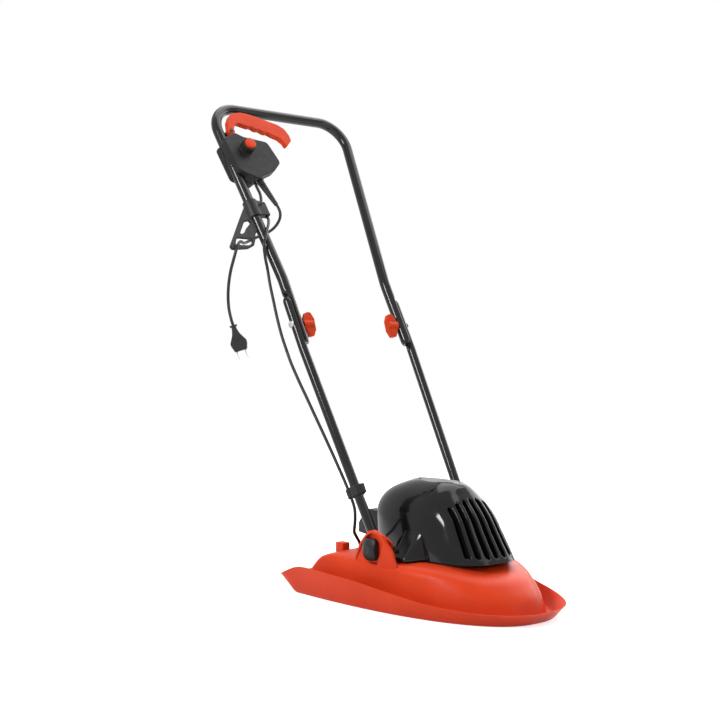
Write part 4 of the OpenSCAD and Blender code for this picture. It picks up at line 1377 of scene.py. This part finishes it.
def add_tubes():
    foot = Vector((-PIVOT_HALF, 0))
    bend = Vector((-FOLD_HALF, LOW_BEND))
    start = foot + (bend - foot).normalized() * LOW_START
    leg = bent_path([start, bend, (-FOLD_HALF, LOW_END)], [LOW_BEND_R])
    for side, node in ((1, "lower_tube_right"), (-1, "lower_tube_left")):

        def low_flat(p, side=side):
            return side, LOW_R - (LOW_R - LOW_FLAT) * ease((p.y - LOW_FLAT_S) / LOW_FLAT_RUN)

        path = [Vector((p.x * side, p.y)) for p in leg]
        adopt(tube(node + "_pipe", path, LOW_R, low_flat), "tube", "lower_handle", node)

    def up_flat(p):
        return -1, UP_R - (UP_R - UP_FLAT) * ease((UP_FLAT_S - p.y) / UP_FLAT_RUN)

    half = [(UP_HALF, UP_START), (UP_HALF, UP_BEND), (BAR_HALF, BAR_S)]
    bow = bent_path([(-y, s) for y, s in half] + half[::-1], UP_BENDS_R)
    adopt(tube("upper_tube_pipe", bow, UP_R, up_flat), "tube", "upper_handle", "upper_tube")


add_tubes()


# Handle fittings
def add_fittings():
    for node, cell, rounds, finish, body in (
        ("switch_front", 1.1, 9, "box", "upper_handle"),
        ("switch_rear", 1.1, 9, "box", "upper_handle"),
        ("cable_hook", 0.9, 5, "dark_plastic", "upper_handle"),
        ("lower_clip", 0.8, 5, "dark_plastic", "lower_handle"),
        ("start_lever", 0.9, 14, "trim", "start_lever"),
        ("wing_knob_right", 0.8, 8, "trim", "wing_knob_right"),
        ("wing_knob_left", 0.8, 8, "trim", "wing_knob_left"),
    ):
        adopt(moulded(node, cell, rounds), finish, body, node)
    for node in ("pivot_knob_right", "pivot_knob_left"):
        adopt(moulded(node, 0.6, 6, on_handle=False), "dark_plastic", "deck", node)
    for node, width, finish, body in (
        ("rear_pod", 3.0, "dark_plastic", "deck"),
        ("cable_grommet", 0.8, "dark_plastic", "deck"),
        ("tube_foot_right", 1.0, "dark_plastic", "lower_handle"),
        ("tube_foot_left", 1.0, "dark_plastic", "lower_handle"),
        ("lock_button", 2.0, "trim", "lock_button"),
        ("cutting_blade", 0.4, "blade", "rotor"),
        ("lift_fan", 0.6, "dark_plastic", "rotor"),
        ("blade_nut", 0.6, "steel", "rotor"),
        ("blade_washer", 0.4, "steel", "rotor"),
        ("height_spacers", 0.5, "dark_plastic", "rotor"),
    ):
        adopt(softened(node, width), finish, body, node)


add_fittings()


# Strain relief: distance and radius of its collar and tip, distance and depth of one rib
RELIEF_COLLAR = [(-5, 5.9), (0.8, 6.0), (0.9, 8.9), (1.6, 9.5), (3.2, 9.5), (4.2, 8.7)]
RELIEF_TIP = [(66.5, 5.0), (67.6, 4.7), (68, 3.8)]
RELIEF_RIB = [(0, 0), (1.2, 0.1), (2.0, 0.75), (3.2, 0.75), (4.0, 0.2)]
RIBS = 11
RIB_FROM = 8
RIB_STEP = 5.2
RIB_R = 8.5
RIB_TAPER = 0.054


def add_strain_relief():
    """Tapered boot with soft ribs."""
    start = handle(*RELIEF_AT)
    end = handle(*along(RELIEF_AT, RELIEF_DIR, 10))
    profile = list(RELIEF_COLLAR)
    for k in range(RIBS):
        base = RIB_FROM + RIB_STEP * k
        radius = RIB_R - (base - 3) * RIB_TAPER
        profile += [(base + run, radius - depth) for run, depth in RELIEF_RIB]
    piece = tidy_normals(lathe("strain_relief_boot", start, end - start, profile + RELIEF_TIP, 40))
    adopt(smooth(piece, 50), "cord", "upper_handle", "strain_relief")


add_strain_relief()

# Return spring of the button: its foot and length over the handle plane, and the button's travel
SPRING_FOOT = 3.1
SPRING_LONG = 14.9
BUTTON_TRAVEL = 4


def add_button_spring():
    """Coil that shortens as the button goes in."""
    spring = smooth(copy_of("button_spring", "button_spring_coil"), 60)
    adopt(spring, "steel", "upper_handle", "button_spring")
    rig.squash(
        spring, "button_press", axis=handle(1, 0, 0) - handle(0, 0, 0), anchor=handle(SPRING_FOOT, 0, 0),
        keep=(SPRING_LONG - BUTTON_TRAVEL) / SPRING_LONG,
    )


add_button_spring()

# CAD nodes whose shape is right keep it and get a finish
KEPT = {
    "steel": [
        "cover_screw_fr", "cover_screw_fl", "cover_screw_rr", "cover_screw_rl", "stator_core", "bearing_low",
        "bearing_top", "pivot_bolt_right", "pivot_bolt_left", "spindle", "armature", "fold_bolt_right",
        "fold_bolt_left",
    ],
    "copper": ["field_coil_a", "field_coil_b", "commutator", "capacitor"],
    "dark_plastic": [
        "motor_tray", "motor_frame", "motor_end_cap", "brush_box_right", "brush_box_left", "brush_right",
        "brush_left", "terminal_block", "micro_switch", "lever_pin",
    ],
}

for finish, names in KEPT.items():
    for name in names:
        mesh = nodes[name].data
        mesh.materials.clear()
        mesh.materials.append(MATERIALS[finish])


# Stage: a pale floor, a white surround and soft studio lamps
FLOOR_HALF = 14
FLOOR_Z = -0.0005
FLOOR_PAPER = 0.80
FLOOR_PALE = 0.90
FLOOR_GLOW = 0.63
WORLD_TINT = (0.95, 0.97, 1.0)
WORLD_LIGHT = 0.45


def shader(tree, kind, values):
    return fill(tree.nodes.new(kind), values).outputs[0]


def show(tree, output, lit, seen):
    """One shader for light that bounces, and one for what is seen, mirrored or seen through."""
    path = tree.nodes.new("ShaderNodeLightPath")
    direct = path.outputs["Is Camera Ray"]
    for name in ("Is Glossy Ray", "Is Transmission Ray"):
        either = tree.nodes.new("ShaderNodeMath")
        either.operation = "MAXIMUM"
        tree.links.new(direct, either.inputs[0])
        tree.links.new(path.outputs[name], either.inputs[1])
        direct = either.outputs[0]
    mix = tree.nodes.new("ShaderNodeMixShader")
    tree.links.new(direct, mix.inputs["Fac"])
    tree.links.new(lit, mix.inputs[1])
    tree.links.new(seen, mix.inputs[2])
    out = tree.nodes.new(output)
    tree.links.new(mix.outputs[0], out.inputs["Surface"])


def add_floor():
    corners = [(-1, -1), (1, -1), (1, 1), (-1, 1)]
    places = [(x * FLOOR_HALF, y * FLOOR_HALF, FLOOR_Z) for x, y in corners]
    floor = mesh_object("floor", places, [(0, 1, 2, 3)])
    material = bpy.data.materials.new("floor_paper")
    material.use_nodes = True
    tree = material.node_tree
    tree.nodes.clear()
    paper = shader(tree, "ShaderNodeBsdfDiffuse", {"Color": (*grey(FLOOR_PAPER), 1)})
    pale = shader(tree, "ShaderNodeBsdfDiffuse", {"Color": (*grey(FLOOR_PALE), 1)})
    glow = shader(tree, "ShaderNodeEmission", {"Strength": FLOOR_GLOW})
    both = tree.nodes.new("ShaderNodeAddShader")
    tree.links.new(pale, both.inputs[0])
    tree.links.new(glow, both.inputs[1])
    show(tree, "ShaderNodeOutputMaterial", paper, both.outputs[0])
    floor.data.materials.append(material)
    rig.stage(floor)


def add_world():
    studio = bpy.data.worlds.new("studio")
    bpy.context.scene.world = studio
    studio.use_nodes = True
    tree = studio.node_tree
    tree.nodes.clear()
    light = shader(tree, "ShaderNodeBackground", {"Color": (*WORLD_TINT, 1), "Strength": WORLD_LIGHT})
    white = shader(tree, "ShaderNodeBackground", {"Color": (1, 1, 1, 1), "Strength": 1.0})
    show(tree, "ShaderNodeOutputWorld", light, white)


def add_lamp(name, place, target, width, height, power, roll=0):
    data = bpy.data.lights.new(name, "AREA")
    data.shape = "RECTANGLE"
    data.size = width
    data.size_y = height
    data.energy = power
    lamp = new_object(name, data)
    lamp.location = place
    direction = Vector(target) - Vector(place)
    turn = direction.to_track_quat("-Z", "Y") @ Quaternion((0, 0, 1), math.radians(roll))
    lamp.rotation_euler = turn.to_euler()


add_floor()
add_world()
add_lamp("key", (-0.15, -2.10, 1.63), (-0.05, 0, 0.30), 0.8, 0.42, 38, roll=-33)
add_lamp("fill", (2.4, 1.2, 1.6), (-0.1, 0, 0.4), 1.2, 1.8, 11)
add_lamp("top", (-0.45, 0.7, 2.5), (-0.1, 0, 0.2), 2.4, 2.0, 44)
add_lamp("back", (-0.45, 2.25, 1.35), (-0.1, 0, 0.2), 2.2, 1.5, 34)

bpy.context.scene.view_settings.view_transform = "Standard"

# The CAD box and the dressed model's box, for comparison
new_low, new_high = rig.bounds()
with open("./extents.json", "w") as out_file:
    json.dump({
        "cad": [list(cad_low), list(cad_high)],
        "visual": [list(new_low), list(new_high)],
    }, out_file)
